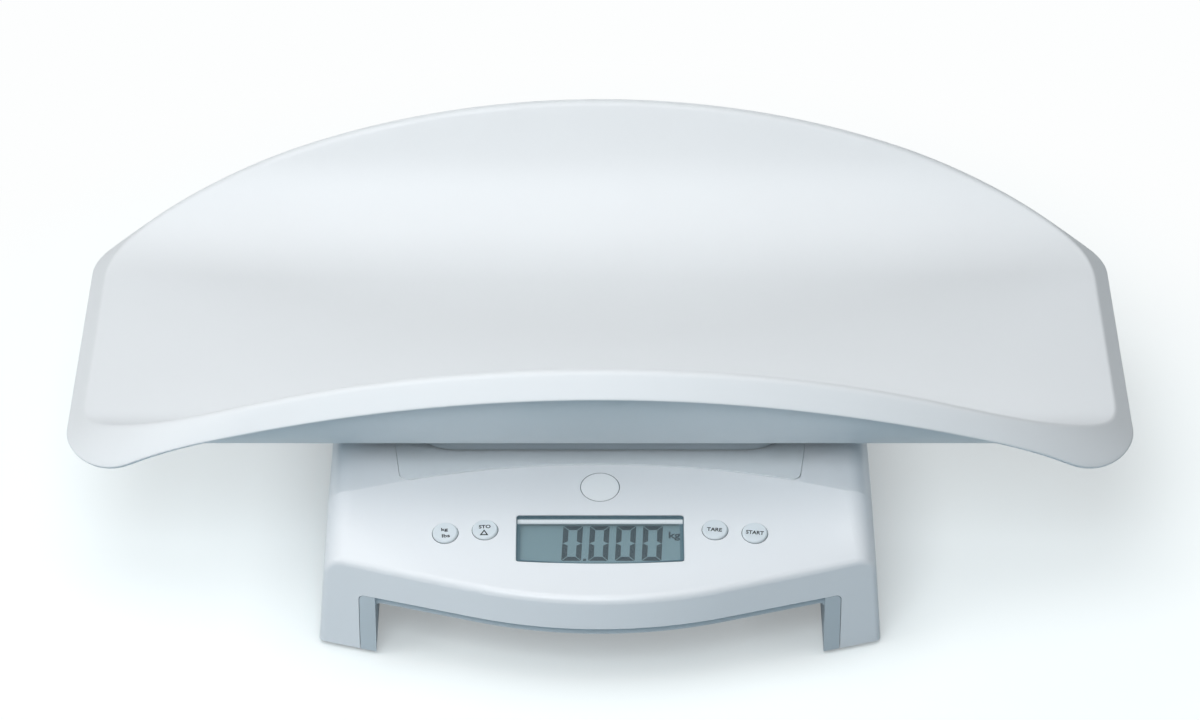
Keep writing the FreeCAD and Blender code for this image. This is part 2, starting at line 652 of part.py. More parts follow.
def make_housing():
    shell = outer_form.cut(inner_form).cut(arch(ARCH_HALF, size.apron_z, size.arch_round))
    deep = size.plate_thick - size.plate_proud
    shell = shell.cut(plate_prism(size.window_fit, size.deck_z - deep, size.deck_z + 5))
    under = size.deck_z - size.wall
    for slot in slots(under - size.rib_deep, size.deck_z + 5):
        shell = shell.cut(slot)
    shell = shell.cut(window_form(size.window_fit, -size.window_thick, 5))
    shell = shell.cut(window_form(-size.window_ledge, -2 * size.wall, 5))
    frame_grow = size.glass_lap - size.window_ledge + size.frame_wall + size.glass_drop
    room_x, room_y = size.window_half + frame_grow, WINDOW_HALF_Y + frame_grow
    shell = shell.cut(block((-room_x, room_x), (-room_y, room_y),
                            (-4 * size.wall, -size.wall - size.glass_drop / 2), WINDOW_FRAME))
    for x, y in KEYS.values():
        frame = panel_frame(x, y)
        shell = shell.cut(rod(size.key_radius + size.key_gap, -2 * size.wall, 5, placement=frame))
        recess = size.key_radius + size.key_flange + size.key_gap
        shell = shell.cut(rod(recess, -2 * size.wall, -size.wall - size.key_seat / 2, placement=frame))
    shell = shell.cut(rod(size.button_radius + size.button_gap, -2 * size.wall, 5, placement=BUTTON_FRAME))
    recess = size.button_radius + size.button_flange + size.button_gap
    shell = shell.cut(rod(recess, -2 * size.wall, -size.wall - size.button_gap / 2, placement=BUTTON_FRAME))
    back = behind(size.base_depth) - size.wall
    for x in (size.rib_side - size.base_half, size.base_half - size.rib_side):
        rib = block((x - size.rib_thick / 2, x + size.rib_thick / 2), (deck_y(x), back),
                    (under - size.rib_deep, under))
        shell = shell.fuse(rib.common(inner_form))
    for x, y in case_screws():
        boss = rod(size.boss_radius, size.boss_top_z, size.deck_z, x, y).common(inner_form)
        shell = shell.fuse(boss)
        screw_top = RIM_BOTTOM + size.head_recess + size.case_screw_length
        shell = shell.cut(rod(size.boss_bore, size.boss_top_z - 1, screw_top, x, y))
    for side in (-1, 1):
        frame = panel_frame(side * KEY_BOARD_X, KEY_BOARD_Y)
        for y in (-size.key_post_y, size.key_post_y):
            post = rod(size.key_post, KEY_BOARD_TOP, -size.wall / 2, 0, y, frame)
            shell = shell.fuse(post)
    return shell


def make_plate():
    low = PLATE_TOP - size.plate_thick
    plate = plate_prism(0, low, PLATE_TOP)
    for slot in slots(low - 1, PLATE_TOP + 1):
        plate = plate.cut(slot)
    return plate


keep_shape("housing_top", make_housing())
keep_shape("platform_plate", make_plate())
keep_shape("display_window", window_form(0, -size.window_thick, 5).common(outer_form))


# ---- lower shell -------------------------------------------------------------------------

FOOT_X = size.base_half - size.foot_side
FEET = {
    "front_left": (-FOOT_X, behind(size.foot_front), 1),
    "front_right": (FOOT_X, behind(size.foot_front), 1),
    "back_left": (-FOOT_X, ahead(size.foot_back), -1),
    "back_right": (FOOT_X, ahead(size.foot_back), -1),
}
LEG_INNER_HALF = size.base_half - size.leg_inner_side
POCKET_BACK = ahead(size.pocket_back)
POCKET_FRONT = POCKET_BACK - size.pocket_depth
DOOR_TOP = RIM_BOTTOM + size.door_thick
DOORWAY_TOP = DOOR_TOP + size.door_gap
POCKET_TOP = DOORWAY_TOP + 2 * size.cell_radius + 2 * size.door_gap
DOOR_BACK = behind(size.base_depth) - BOTTOM_INSET
RUN_X = (-size.slide_width / 2 - size.slide_gap - size.cradle_wall,
         size.slide_width / 2 + size.slide_gap + size.cradle_wall)
NORMAL = BUTTON_FRAME.Rotation.multVec(Vector(0, 0, 1))
STEM_END = BUTTON_FRAME.Base - NORMAL * (size.button_thick + size.stem_length)
SLIDE_TOP = STEM_END.z - size.slide_drop
SLIDE_BOTTOM = SLIDE_TOP - size.slide_thick
KEEPER_FACE = size.tray_centre_y - size.keeper_front - size.keeper_thick / 2
SLIDE_BACK = KEEPER_FACE - size.slide_gap
SLIDE_FRONT = SLIDE_BACK - size.slide_length
RAMP_ANGLE = math.radians(size.ramp_angle)
RAMP_NORMAL = Vector(0, math.sin(RAMP_ANGLE), math.cos(RAMP_ANGLE))


def leg_room(x):
    """True X limits of the clear space inside a leg, on the given side."""
    inner = LEG_INNER_HALF + size.bottom_wall
    return (inner, FAR) if x > 0 else (-FAR, -inner)


def leg_cheeks():
    """Fills the housing's archway out to its front and back faces, on the inner side of each leg."""
    high = size.apron_z - size.nest_gap
    form = base_hull(0, size.leg_z, high, False)
    between = block((-LEG_INNER_HALF, LEG_INNER_HALF), (behind(0), behind(size.base_depth)), (0, high))
    return form.common(arch(ARCH_HALF - size.nest_gap, high, size.arch_round)).cut(between)


def hollow_bottom():
    """The lower shell's tray: a floor between the legs and a trough in each leg."""
    top = size.apron_z + size.rim_overlap
    shell = base_hull(BOTTOM_INSET, size.leg_z, top, False)
    shell = shell.fuse(leg_cheeks())
    room = base_hull(BOTTOM_INSET + size.bottom_wall, size.leg_z, top + 1, False)
    legs = [block(leg_room(x), (behind(0), behind(size.base_depth)),
                  (size.leg_z + size.bottom_wall, top + 1)) for x in (-1, 1)]
    middle = block((-size.base_half, size.base_half), (behind(0), behind(size.base_depth)), (FLOOR_TOP, top + 1))
    for space in (middle, *legs):
        shell = shell.cut(room.common(space))
    return shell.cut(arch(LEG_INNER_HALF, RIM_BOTTOM, size.leg_inner_round))


def battery_block():
    """The battery pocket's walls and roof, with rails for the door beside them."""
    half = size.pocket_half
    wall = size.pocket_wall
    front, back = POCKET_FRONT, POCKET_BACK
    pocket = block((-half - wall, half + wall), (front - wall, back + wall), (RIM_BOTTOM, POCKET_TOP + wall))
    rails = block((-half - size.rail_block, half + size.rail_block), (front - wall, DOOR_BACK - wall),
                  (RIM_BOTTOM, DOORWAY_TOP + wall))
    return pocket.fuse(rails)


def battery_room():
    """The space inside it: the cells' pocket, the doorway and the door's two grooves."""
    half, gap = size.pocket_half, size.door_gap
    front, back = POCKET_FRONT, POCKET_BACK
    tongue_top = DOOR_TOP - size.door_tongue_drop
    out = DOOR_BACK + size.wall
    cells = block((-half, half), (front, back), (RIM_BOTTOM - 1, POCKET_TOP))
    doorway = block((-half, half), (front, out), (RIM_BOTTOM - 1, DOORWAY_TOP))
    grooves = block((-half - size.door_tongue, half + size.door_tongue), (front, out),
                    (tongue_top - size.door_tongue_thick - gap, tongue_top + gap))
    return cells.fuse(doorway).fuse(grooves)


def latch_cradle():
    """Two walls and a bed that guide the latch slide, with a bridge that seats the button's spring."""
    left, right = RUN_X
    back, front = SLIDE_BACK - size.slide_thick * 3, SLIDE_FRONT - size.cradle_spring
    top = SLIDE_TOP + size.cradle_lip
    deep = size.button_thick + size.stem_length + size.slide_drop
    cradle = block(RUN_X, (SLIDE_FRONT + 1, back), (SLIDE_BOTTOM - size.slide_gap - size.cradle_wall,
                                                    SLIDE_BOTTOM - size.slide_gap))
    cradle = cradle.fuse(block(RUN_X, (front, front + size.cradle_wall), (FLOOR_TOP - 1, top)))
    for x in ((left, left + size.cradle_wall), (right - size.cradle_wall, right)):
        cradle = cradle.fuse(block(x, (front, back), (FLOOR_TOP - 1, top)))
        cradle = cradle.fuse(block(x, (-size.seat_half, size.seat_half), (-deep, -size.seat_deep), BUTTON_FRAME))
    bridge = block(RUN_X, (-size.seat_half, size.seat_half),
                   (-size.seat_deep - size.seat_thick, -size.seat_deep), BUTTON_FRAME)
    hole = rod(size.stem_radius + size.button_gap, -2 * size.seat_deep, 0, placement=BUTTON_FRAME)
    return cradle.fuse(bridge).cut(hole.common(bridge))


def make_bottom():
    shell = hollow_bottom().fuse(battery_block()).cut(battery_room())
    for x, y in case_screws():
        shell = shell.fuse(rod(size.boss_radius, FLOOR_TOP - 1, size.boss_top_z, x, y))
        shell = shell.cut(rod(size.boss_bore, RIM_BOTTOM - 1, size.boss_top_z + 1, x, y))
        shell = shell.cut(rod(size.case_screw_head + size.head_gap, RIM_BOTTOM - 1,
                              RIM_BOTTOM + size.head_recess, x, y))
    for x, y, inward in FEET.values():
        shell = shell.cut(rod(size.foot_hole, size.leg_z - 1, size.leg_z + size.bottom_wall + 1, x, y))
        end = y + inward * (size.bar_length - size.bar_inset)
        along = sorted((end, end - inward * size.mount_length))
        mount = block((x - size.bar_width / 2, x + size.bar_width / 2), along,
                      (size.leg_z + size.bottom_wall / 2, size.bar_z))
        shell = shell.fuse(mount)
    return shell.fuse(latch_cradle())


keep_shape("base_bottom", make_bottom())


def make_case_screw_set():
    seat = RIM_BOTTOM + size.head_recess
    screws = []
    for x, y in case_screws():
        head = rod(size.case_screw_head, seat - size.case_screw_head_high, seat, x, y)
        screws.append(head.fuse(rod(size.boss_bore, seat, seat + size.case_screw_length, x, y)))
    return Part.makeCompound(screws)


keep_shape("case_screws", make_case_screw_set())


# ---- feet and load cells -------------------------------------------------------------------

def make_foot(corner, x, y, inward):
    """One load cell bar in a leg, the post under its free end and the rubber pad on the floor."""
    turn = Rotation(Vector(0, 0, 1), 90 if inward > 0 else -90)
    middle = "bar_length/2 - bar_inset"
    bar = padded(f"load_cell_{corner}", [
        rectangle("-bar_inset", "bar_length - bar_inset", "0", "bar_high"),
        ("circle", f"{middle} - bar_hole_spacing/2", "bar_high/2", "bar_hole"),
        ("circle", f"{middle} + bar_hole_spacing/2", "bar_high/2", "bar_hole")],
        "-bar_width/2", "bar_width/2", "XZ_Plane")
    keep(bar, f"load_cell_{corner}", Placement(Vector(x, y, size.bar_z), turn))
    post = turned(f"foot_post_{corner}", [
        ("0", "pad_high"), ("post_radius", "pad_high"), ("post_radius", "bar_z"), ("0", "bar_z")])
    keep(post, f"foot_post_{corner}", Placement(Vector(x, y, 0), Rotation()))
    pad = turned(f"foot_pad_{corner}", [
        ("0", "0"), ("pad_radius - pad_round", "0"), ("pad_radius", "pad_round"),
        ("pad_radius", "pad_high"), ("0", "pad_high")])
    keep(pad, f"foot_pad_{corner}", Placement(Vector(x, y, 0), Rotation()))


for corner, (foot_x, foot_y, inward) in FEET.items():
    make_foot(corner, foot_x, foot_y, inward)


# ---- batteries -------------------------------------------------------------------------------

def make_door():
    half, gap = size.pocket_half, size.door_gap
    front = POCKET_FRONT + gap
    tongue_top = DOOR_TOP - size.door_tongue_drop
    door = block((gap - half, half - gap), (front, DOOR_BACK), (RIM_BOTTOM, DOOR_TOP))
    wide = half + size.door_tongue - gap
    door = door.fuse(block((-wide, wide), (front, DOOR_BACK - size.bottom_wall - size.pocket_wall),
                           (tongue_top - size.door_tongue_thick, tongue_top)))
    grip = size.door_thick / 2
    for step in range(5):
        y = DOOR_BACK - (6 + 2 * step) * grip
        groove = block((-half / 3, half / 3), (y, y + grip), (RIM_BOTTOM - 1, RIM_BOTTOM + grip / 2))
        door = door.cut(groove)
    return door


def cell_places():
    """Centres of the cells: rows of two, end to end along X."""
    rows = int(size.cell_rows)
    pitch = size.pocket_depth / rows
    z = DOORWAY_TOP + size.door_gap + size.cell_radius
    return [(side * size.cell_length / 2, POCKET_FRONT + pitch * (i + 0.5), z)
            for i in range(rows) for side in (-1, 1)]


def make_cell_set():
    turn = Rotation(Vector(0, 1, 0), 90)
    cells = []
    for x, y, z in cell_places():
        cell = Part.makeCylinder(size.cell_radius, size.cell_length - size.cell_radius / 6)
        cap = Part.makeCylinder(size.cell_radius / 3, size.cell_length)
        both = cell.fuse(cap)
        both.Placement = Placement(Vector(x - size.cell_length / 2, y, z), turn)
        cells.append(both)
    return Part.makeCompound(cells)


def make_contacts():
    """A spring plate at each end of the pocket, with a raised seat for every row."""
    z = DOORWAY_TOP + size.door_gap + size.cell_radius
    front, back = POCKET_FRONT, POCKET_BACK
    plates = []
    for side in (-1, 1):
        far, near = side * size.pocket_half, side * (size.pocket_half - size.contact_thick)
        plate = block(sorted((far, near)), (front + 1, back - 1), (z - size.contact_high / 2, z + size.contact_high / 2))
        for x, y, z in cell_places()[::2]:
            spring = Part.makeCone(size.cell_radius / 2, size.cell_radius / 3, size.contact_spring,
                                   Vector(near, y, z), Vector(-side, 0, 0))
            plate = plate.fuse(spring)
        plates.append(plate)
    return Part.makeCompound(plates)


keep_shape("battery_door", make_door())
keep_shape("battery_cells", make_cell_set())
keep_shape("battery_contacts", make_contacts())


# ---- display ---------------------------------------------------------------------------------

GLASS_HALF = "window_half - window_ledge + glass_lap"
glass_half_y = f"{WINDOW_HALF_Y:.4f} - window_ledge + glass_lap"
glass_top = "-wall - glass_drop"
glass_bottom = "-wall - glass_drop - glass_thick"
board_top = "-wall - glass_drop - frame_high"
glass_edges = rectangle(f"-({GLASS_HALF})", GLASS_HALF, f"-({glass_half_y})", glass_half_y)
frame_edges = rectangle(f"-({GLASS_HALF}) - frame_wall", f"{GLASS_HALF} + frame_wall",
                        f"-({glass_half_y}) - frame_wall", f"{glass_half_y} + frame_wall")
inner_edges = rectangle(f"-({GLASS_HALF}) - window_fit", f"{GLASS_HALF} + window_fit",
                        f"-({glass_half_y}) - window_fit", f"{glass_half_y} + window_fit")
strip_low, strip_high = f"{glass_half_y} - strip_width - 1", f"{glass_half_y} - 1"
strips = [rectangle(f"-({GLASS_HALF}) + 1", f"{GLASS_HALF} - 1", f"-({strip_high})", f"-({strip_low})"),
          rectangle(f"-({GLASS_HALF}) + 1", f"{GLASS_HALF} - 1", strip_low, strip_high)]

keep(padded("lcd_glass", [glass_edges], glass_bottom, glass_top), "lcd_glass", WINDOW_FRAME)
keep(padded("lcd_frame", [frame_edges, inner_edges], board_top, glass_top), "lcd_frame", WINDOW_FRAME)
for side, strip in zip(("front", "back"), strips):
    label = f"contact_strip_{side}"
    keep(padded(label, [strip], board_top, glass_bottom), label, WINDOW_FRAME)
keep(padded("main_board", [rectangle("-board_half", "board_half", "-board_depth/2", "board_depth/2")],
            f"{board_top} - board_thick", board_top), "main_board", WINDOW_FRAME)


# ---- keys --------------------------------------------------------------------------------------

FLANGE_TOP = "-wall - key_seat"
FLANGE_BOTTOM = "-wall - key_seat - key_flange_thick"
for label, (key_x, key_y) in KEYS.items():
    key = turned(label, [
        ("0", "key_proud"), ("key_radius - key_round", "key_proud"), ("key_radius", "key_proud - key_round"),
        ("key_radius", FLANGE_TOP), ("key_radius + key_flange", FLANGE_TOP),
        ("key_radius + key_flange", FLANGE_BOTTOM), ("key_stem_radius", FLANGE_BOTTOM),
        ("key_stem_radius", f"{FLANGE_BOTTOM} - key_stem"), ("0", f"{FLANGE_BOTTOM} - key_stem")])
    keep(key, label, panel_frame(key_x, key_y))

SWITCH = f"{FLANGE_BOTTOM} - key_stem - switch_gap"
half_pitch = "(key_outer_x - key_inner_x)/2"
for side, name in ((-1, "left"), (1, "right")):
    frame = panel_frame(side * KEY_BOARD_X, KEY_BOARD_Y)
    board = padded(f"key_board_{name}", [
        rectangle("-key_board_half", "key_board_half", "-key_board_depth/2", "key_board_depth/2")],
        f"{SWITCH} - switch_high - key_board_thick", f"{SWITCH} - switch_high")
    keep(board, f"key_board_{name}", frame)
    switches = padded(f"key_switches_{name}", [
        rectangle(f"{half_pitch} - switch_side/2", f"{half_pitch} + switch_side/2", "-switch_side/2", "switch_side/2")],
        f"{SWITCH} - switch_high", SWITCH)
    pair = doc.addObject("Part::Mirroring", f"key_switch_pair_{name}")
    pair.Source = switches
    pair.Normal = Vector(1, 0, 0)
    both = doc.addObject("Part::Compound", f"key_switches_both_{name}")
    both.Links = [switches, pair]
    switches.Label = f"key_switch_one_{name}"
    doc.recompute()
    keep(both, f"key_switches_{name}", frame)


# ---- release button and latch --------------------------------------------------------------------

def past(point, normal):
    """A large block beyond a plane."""
    big = 40
    return block((-big, big), (-big, big), (0, big), Placement(point, Rotation(Vector(0, 0, 1), normal)))


def make_button():
    flange_top = -size.wall - size.button_gap
    cap = rod(size.button_radius, -size.button_thick, 0)
    cap = cap.fuse(rod(size.button_radius + size.button_flange, flange_top - size.button_flange_thick, flange_top))
    deep = -size.button_thick - size.stem_length - size.ramp_half
    cap = cap.fuse(rod(size.stem_radius, deep, -size.button_thick))
    cap.Placement = BUTTON_FRAME
    return cap.cut(past(STEM_END, -RAMP_NORMAL))


def make_slide():
    """The latch slide: a bar with a ramp under the button's stem and a tongue at the tray's keeper."""
    half = size.slide_width / 2
    slide = block((-half, half), (SLIDE_FRONT, SLIDE_BACK), (SLIDE_BOTTOM, SLIDE_TOP))
    ramp = block((-size.ramp_width / 2, size.ramp_width / 2),
                 (STEM_END.y - size.ramp_half, STEM_END.y + size.ramp_half),
                 (SLIDE_TOP - 1, STEM_END.z + size.ramp_half))
    slide = slide.fuse(ramp.cut(past(STEM_END - RAMP_NORMAL * size.slide_gap, RAMP_NORMAL)))
    tongue = block((-size.tongue_width / 2, size.tongue_width / 2),
                   (SLIDE_BACK - size.tongue_thick, SLIDE_BACK),
                   (SLIDE_TOP - 1, size.deck_z - size.wall - size.tongue_top_gap))
    return slide.fuse(tongue)


def make_spring(radius, length):
    """A coil standing on its own Z axis, each turn of its wire in short straight runs."""
    wire, runs = size.spring_wire, size.spring_runs
    count = round((length - 2 * wire) / size.spring_pitch * runs)
    rise = (length - 2 * wire) / count

    def spot(reach, step, z=0):
        turn = 2 * math.pi * step / runs
        return Vector(reach * math.cos(turn), reach * math.sin(turn), wire + rise * step + z)

    path = Part.makePolygon([spot(radius, step) for step in range(count + 1)])
    side = spot(radius, 1) - spot(radius, 0)
    section = Part.makePolygon([Vector(x, 0, z) for x, z in (
        (-wire, 0), (-wire / 2, wire), (wire / 2, wire), (wire, 0), (wire / 2, -wire), (-wire / 2, -wire),
        (-wire, 0))])
    section.Placement = Placement(spot(radius, 0), Rotation(Vector(0, 1, 0), side))
    return path.makePipeShell([section], True, False, 1)


keep_shape("release_button", make_button())
keep_shape("latch_slide", make_slide())
button_spring = make_spring(size.button_spring_radius, size.seat_deep - size.button_thick)
keep_shape("button_spring", button_spring, BUTTON_FRAME.multiply(Placement(Vector(0, 0, -size.seat_deep), Rotation())))
spring_place = Placement(Vector(0, SLIDE_FRONT, (SLIDE_TOP + SLIDE_BOTTOM) / 2), Rotation(Vector(1, 0, 0), 90))
keep_shape("latch_spring", make_spring(size.spring_radius, size.cradle_spring - size.cradle_wall), spring_place)

# ---- check and write -----------------------------------------------------------------------

doc.recompute()
faults = [t.Name for t in doc.Objects if "Invalid" in t.State or "Error" in t.State]
faults += [t.Label for t in PARTS if t.Shape.isNull() or not t.Shape.isValid()]
if faults:
    raise RuntimeError("not built: " + ", ".join(faults))
os.makedirs("parts", exist_ok=True)
for thing in PARTS:
    thing.Shape.exportStep(f"parts/{thing.Label}.step")
print(f"{len(PARTS)} sub-parts")
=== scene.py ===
"""Looks of a digital baby weighing scale: a wide moulded tray on a low electronic base.
Metres, X along the tray, -Y the front with the panel, Z up from the table."""
import math

import bpy
import numpy as np
from mathutils import Matrix, Vector


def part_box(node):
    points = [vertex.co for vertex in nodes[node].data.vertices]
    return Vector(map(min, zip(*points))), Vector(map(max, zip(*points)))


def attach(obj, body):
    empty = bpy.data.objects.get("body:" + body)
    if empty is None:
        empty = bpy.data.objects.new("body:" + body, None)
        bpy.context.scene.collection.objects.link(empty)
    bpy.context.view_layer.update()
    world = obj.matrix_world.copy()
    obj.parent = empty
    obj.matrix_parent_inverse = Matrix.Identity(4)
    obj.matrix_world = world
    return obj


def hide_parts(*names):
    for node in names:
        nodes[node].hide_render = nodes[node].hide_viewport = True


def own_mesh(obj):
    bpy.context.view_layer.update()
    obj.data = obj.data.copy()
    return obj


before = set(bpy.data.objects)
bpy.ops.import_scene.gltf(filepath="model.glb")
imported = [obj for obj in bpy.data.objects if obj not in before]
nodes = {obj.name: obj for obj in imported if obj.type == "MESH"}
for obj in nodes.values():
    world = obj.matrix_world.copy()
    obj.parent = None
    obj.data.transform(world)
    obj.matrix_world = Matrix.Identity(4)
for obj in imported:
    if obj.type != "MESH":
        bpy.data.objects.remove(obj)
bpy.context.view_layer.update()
MM = 0.001


# ---- Feet: four compression-moulded rubber pads, each on a turned steel post under the
# free end of a load cell. The cells are bars of milled aluminium, and each lies on a mount
# in its leg.

DRIFT_SCALE = 14.0
GLOSS_SPREAD = 0.06


def linear(hex_colour):
    """sRGB hex to a linear colour with full alpha."""
    parts = [int(hex_colour[i:i + 2], 16) / 255 for i in (1, 3, 5)]
    return (*[c / 12.92 if c <= 0.04045 else ((c + 0.055) / 1.055) ** 2.4 for c in parts], 1.0)


def add(tree, kind, settings=None, links=None):
    """Adds a node; settings are attributes or input values, links are input: (node, output)."""
    node = tree.nodes.new(kind)
    for name, setting in (settings or {}).items():
        if hasattr(node, name) and name not in node.inputs:
            setattr(node, name, setting)
        else:
            node.inputs[name].default_value = setting
    for name, (source, output) in (links or {}).items():
        tree.links.new(source.outputs[output], node.inputs[name])
    return node


def material(name):
    """An empty node material with its surface shader, to be given a pattern."""
    made = bpy.data.materials.new(name)
    made.use_nodes = True
    tree = made.node_tree
    return made, tree, tree.nodes["Principled BSDF"]


def grained(name, colour, roughness, grain_mm, depth_mm, tint=0.03, metallic=0.0, coat=0.0,
            stretch=(1, 1, 1)):
    """A surface with a fine grain: bump, an uneven gloss, and a tone that drifts by the tint,
    one wave in some 70 mm."""
    made, tree, shader = material(name)
    place = add(tree, "ShaderNodeTexCoord")
    turned = add(tree, "ShaderNodeMapping", {"Scale": stretch}, {"Vector": (place, "Object")})
    fine = add(tree, "ShaderNodeTexNoise", {"Scale": 1 / (grain_mm * MM), "Detail": 3.0},
               {"Vector": (turned, "Vector")})
    broad = add(tree, "ShaderNodeTexNoise", {"Scale": DRIFT_SCALE, "Detail": 2.0},
                {"Vector": (place, "Object")})
    full = linear(colour)
    low = tuple(c * (1 - tint) for c in full[:3]) + (1.0,)
    tone = add(tree, "ShaderNodeValToRGB", links={"Fac": (broad, "Fac")})
    for stop, position, shade in zip(tone.color_ramp.elements, (0.3, 0.7), (low, full)):
        stop.position, stop.color = position, shade
    gloss = add(tree, "ShaderNodeMapRange",
                {"To Min": roughness - GLOSS_SPREAD / 2, "To Max": roughness + GLOSS_SPREAD / 2},
                {"Value": (fine, "Fac")})
    bump = add(tree, "ShaderNodeBump", {"Strength": 1.0, "Distance": depth_mm * MM},
               {"Height": (fine, "Fac")})
    tree.links.new(tone.outputs["Color"], shader.inputs["Base Color"])
    tree.links.new(gloss.outputs["Result"], shader.inputs["Roughness"])
    tree.links.new(bump.outputs["Normal"], shader.inputs["Normal"])
    shader.inputs["Metallic"].default_value = metallic
    shader.inputs["Coat Weight"].default_value = coat
    return made


def finish(made, *names):
    """Gives CAD nodes a material."""
    for name in names:
        for slot in nodes[name].material_slots:
            slot.material = made


# Near-black rubber, dull and a little dusty; steel with rings round it from the lathe;
# aluminium with the mill's marks across the bar.
foot_rubber = grained("moulded_foot_rubber", "#2B2D2F", 0.78, 0.5, 0.05, tint=0.15)
post_steel = grained("turned_post_steel", "#C3C6C9", 0.30, 0.3, 0.01, metallic=1.0,
                     stretch=(1, 1, 12))
cell_aluminium = grained("milled_cell_aluminium", "#C9CCCF", 0.36, 0.4, 0.015, metallic=1.0,
                         stretch=(1, 8, 1))
for corner in ("front_left", "front_right", "back_left", "back_right"):
    finish(foot_rubber, f"foot_pad_{corner}")
    finish(post_steel, f"foot_post_{corner}")
    finish(cell_aluminium, f"load_cell_{corner}")


# ---- Lower shell: an injection-moulded ABS tray between the legs, with the battery door
# in its floor. It is screwed up into the housing from below.

# The matt grain that spark erosion leaves in the mould, which hides scratches. It is drawn a
# few times coarser than it is, to show.
shell_grey = grained("spark_grained_abs_grey", "#CDD6DB", 0.48, 0.35, 0.03)
finish(shell_grey, "base_bottom", "battery_door")


# ---- Fasteners and batteries: zinc-plated screws, a steel keeper under the tray, sprung
# steel contacts at the ends of the battery pocket, and six cells between them.

# Plating with a soft, slightly blue shine, and a printed film sleeve, glossier than paint.
plated_steel = grained("zinc_plated_steel", "#B9BCC0", 0.28, 0.4, 0.01, metallic=1.0)
cell_sleeve = grained("printed_cell_sleeve", "#3C4147", 0.25, 1.0, 0.01, coat=0.3)
finish(plated_steel, "case_screws", "tray_screws", "tray_keeper", "battery_contacts")
finish(cell_sleeve, "battery_cells")


# ---- Electronics under the panel: glass-epoxy boards, a moulded frame round the display,
# moulded switches and latch slide, and rubber strips that carry the signals to the glass.

# Solder mask is a clear green lacquer over copper; the frame plastic is plain and dark; the
# strips are soft rubber with fine stripes of carbon across them.
board_mask = grained("green_solder_mask", "#1F6B40", 0.35, 0.8, 0.02, tint=0.12, coat=0.4)
frame_plastic = grained("dark_frame_plastic", "#3A3D40", 0.5, 0.4, 0.02)
strip_rubber = grained("striped_contact_rubber", "#4A4A4C", 0.7, 0.5, 0.03, stretch=(6, 1, 1))
finish(board_mask, "main_board", "key_board_left", "key_board_right")
finish(frame_plastic, "lcd_frame", "key_switches_left", "key_switches_right", "latch_slide")
finish(strip_rubber, "contact_strip_front", "contact_strip_back")


# ---- Upper housing and platform: one injection moulding in white ABS with the panel, the
# deck and the legs, and the platform plate let into its deck, where the tray stands.

# ABS from a polished mould is satin, with a thin clear shine over it; the plate is greyer.
housing_white = grained("satin_moulded_abs_white", "#F3F5F7", 0.34, 0.6, 0.008, tint=0.01,
                        coat=0.15)
plate_white = grained("satin_platform_abs", "#EDF1F3", 0.38, 0.6, 0.008, tint=0.01)
finish(housing_white, "housing_top")
finish(plate_white, "platform_plate")


# ---- Display: a liquid crystal glass under a clear acrylic window. The window's back is
# printed with a dark border, its edge is painted dark as painted shade of the window's well,
# and a painted highlight strip, bright above and greyer below, runs along its top. The glass
# shows four digits, a point and the unit.

WINDOW_HALF, WINDOW_DEEP, WINDOW_BOW, WINDOW_ROUND = 42.45, 16.5, 2.1, 1.5
# The ring on the window's edge is painted shade; the strip along its top is a painted highlight.
# Levels from the panel's face: the window's back is at -1.5, and the glass lies deeper.
BORDER_WIDE, BORDER, EDGE_SHADE, HIGHLIGHT_LEVELS = 1.9, (-1.58, -1.52), (-1.5, -0.03), (-1.51, -1.45)
GLASS = -3.4
SEGMENTS = (GLASS - 0.1, GLASS + 0.05)
DIGITS, DIGIT_PITCH, DIGIT_LEAN = 4, 13.55, 0.042
# Y positions in mm between which the painted highlight strip runs from grey to bright.
HIGHLIGHT_FRONT, HIGHLIGHT_BACK = -116.0, -112.8
BOLDER = 0.027  # how far letters are thickened, as a share of their size

# Grey-green glass with darker segments; matt screen-printed ink round the window, and the same dark
# on the window's edge as painted shade.
display_grey = grained("liquid_crystal_glass", "#7C979E", 0.30, 0.5, 0.002)
segment_dark = grained("dark_crystal_segment", "#22363F", 0.45, 0.5, 0.002)
dark_print_and_edge_shade = grained("dark_print_and_painted_edge_shade", "#5C7984", 0.45, 0.5, 0.002)
finish(display_grey, "lcd_glass")


def painted_highlight_strip():
    """A painted highlight strip: brightest above its middle, greyer towards its lower edge."""
    made, tree, shader = material("painted_window_highlight")
    place = add(tree, "ShaderNodeTexCoord")
    apart = add(tree, "ShaderNodeSeparateXYZ", links={"Vector": (place, "Object")})
    height = add(tree, "ShaderNodeMapRange",
                 {"From Min": HIGHLIGHT_FRONT * MM, "From Max": HIGHLIGHT_BACK * MM}, {"Value": (apart, "Y")})
    tone = add(tree, "ShaderNodeValToRGB", links={"Fac": (height, "Result")})
    lower, upper = tone.color_ramp.elements
    lower.position, lower.color = 0.0, linear("#B4C2C8")
    upper.position, upper.color = 1.0, linear("#EDF2F4")
    tone.color_ramp.elements.new(0.55).color = linear("#F8FBFC")
    tree.links.new(tone.outputs["Color"], shader.inputs["Base Color"])
    shader.inputs["Roughness"].default_value = 0.30
    return made


def clear_acrylic():
    """Moulded acrylic: a thin clear sheet, seen mostly by the haze on its polished face, with
    a ripple some 11 mm long."""
    made, tree, shader = material("polished_clear_acrylic")
    place = add(tree, "ShaderNodeTexCoord")
    ripple = add(tree, "ShaderNodeTexNoise", {"Scale": 90.0, "Detail": 1.0},
                 {"Vector": (place, "Object")})
    bump = add(tree, "ShaderNodeBump", {"Strength": 0.15, "Distance": 0.02 * MM},
               {"Height": (ripple, "Fac")})
    tree.links.new(bump.outputs["Normal"], shader.inputs["Normal"])
    shader.inputs["Base Color"].default_value = linear("#DCE8EB")
    shader.inputs["Roughness"].default_value = 0.05
    shader.inputs["IOR"].default_value = 1.49
    shader.inputs["Alpha"].default_value = 0.05
    return made


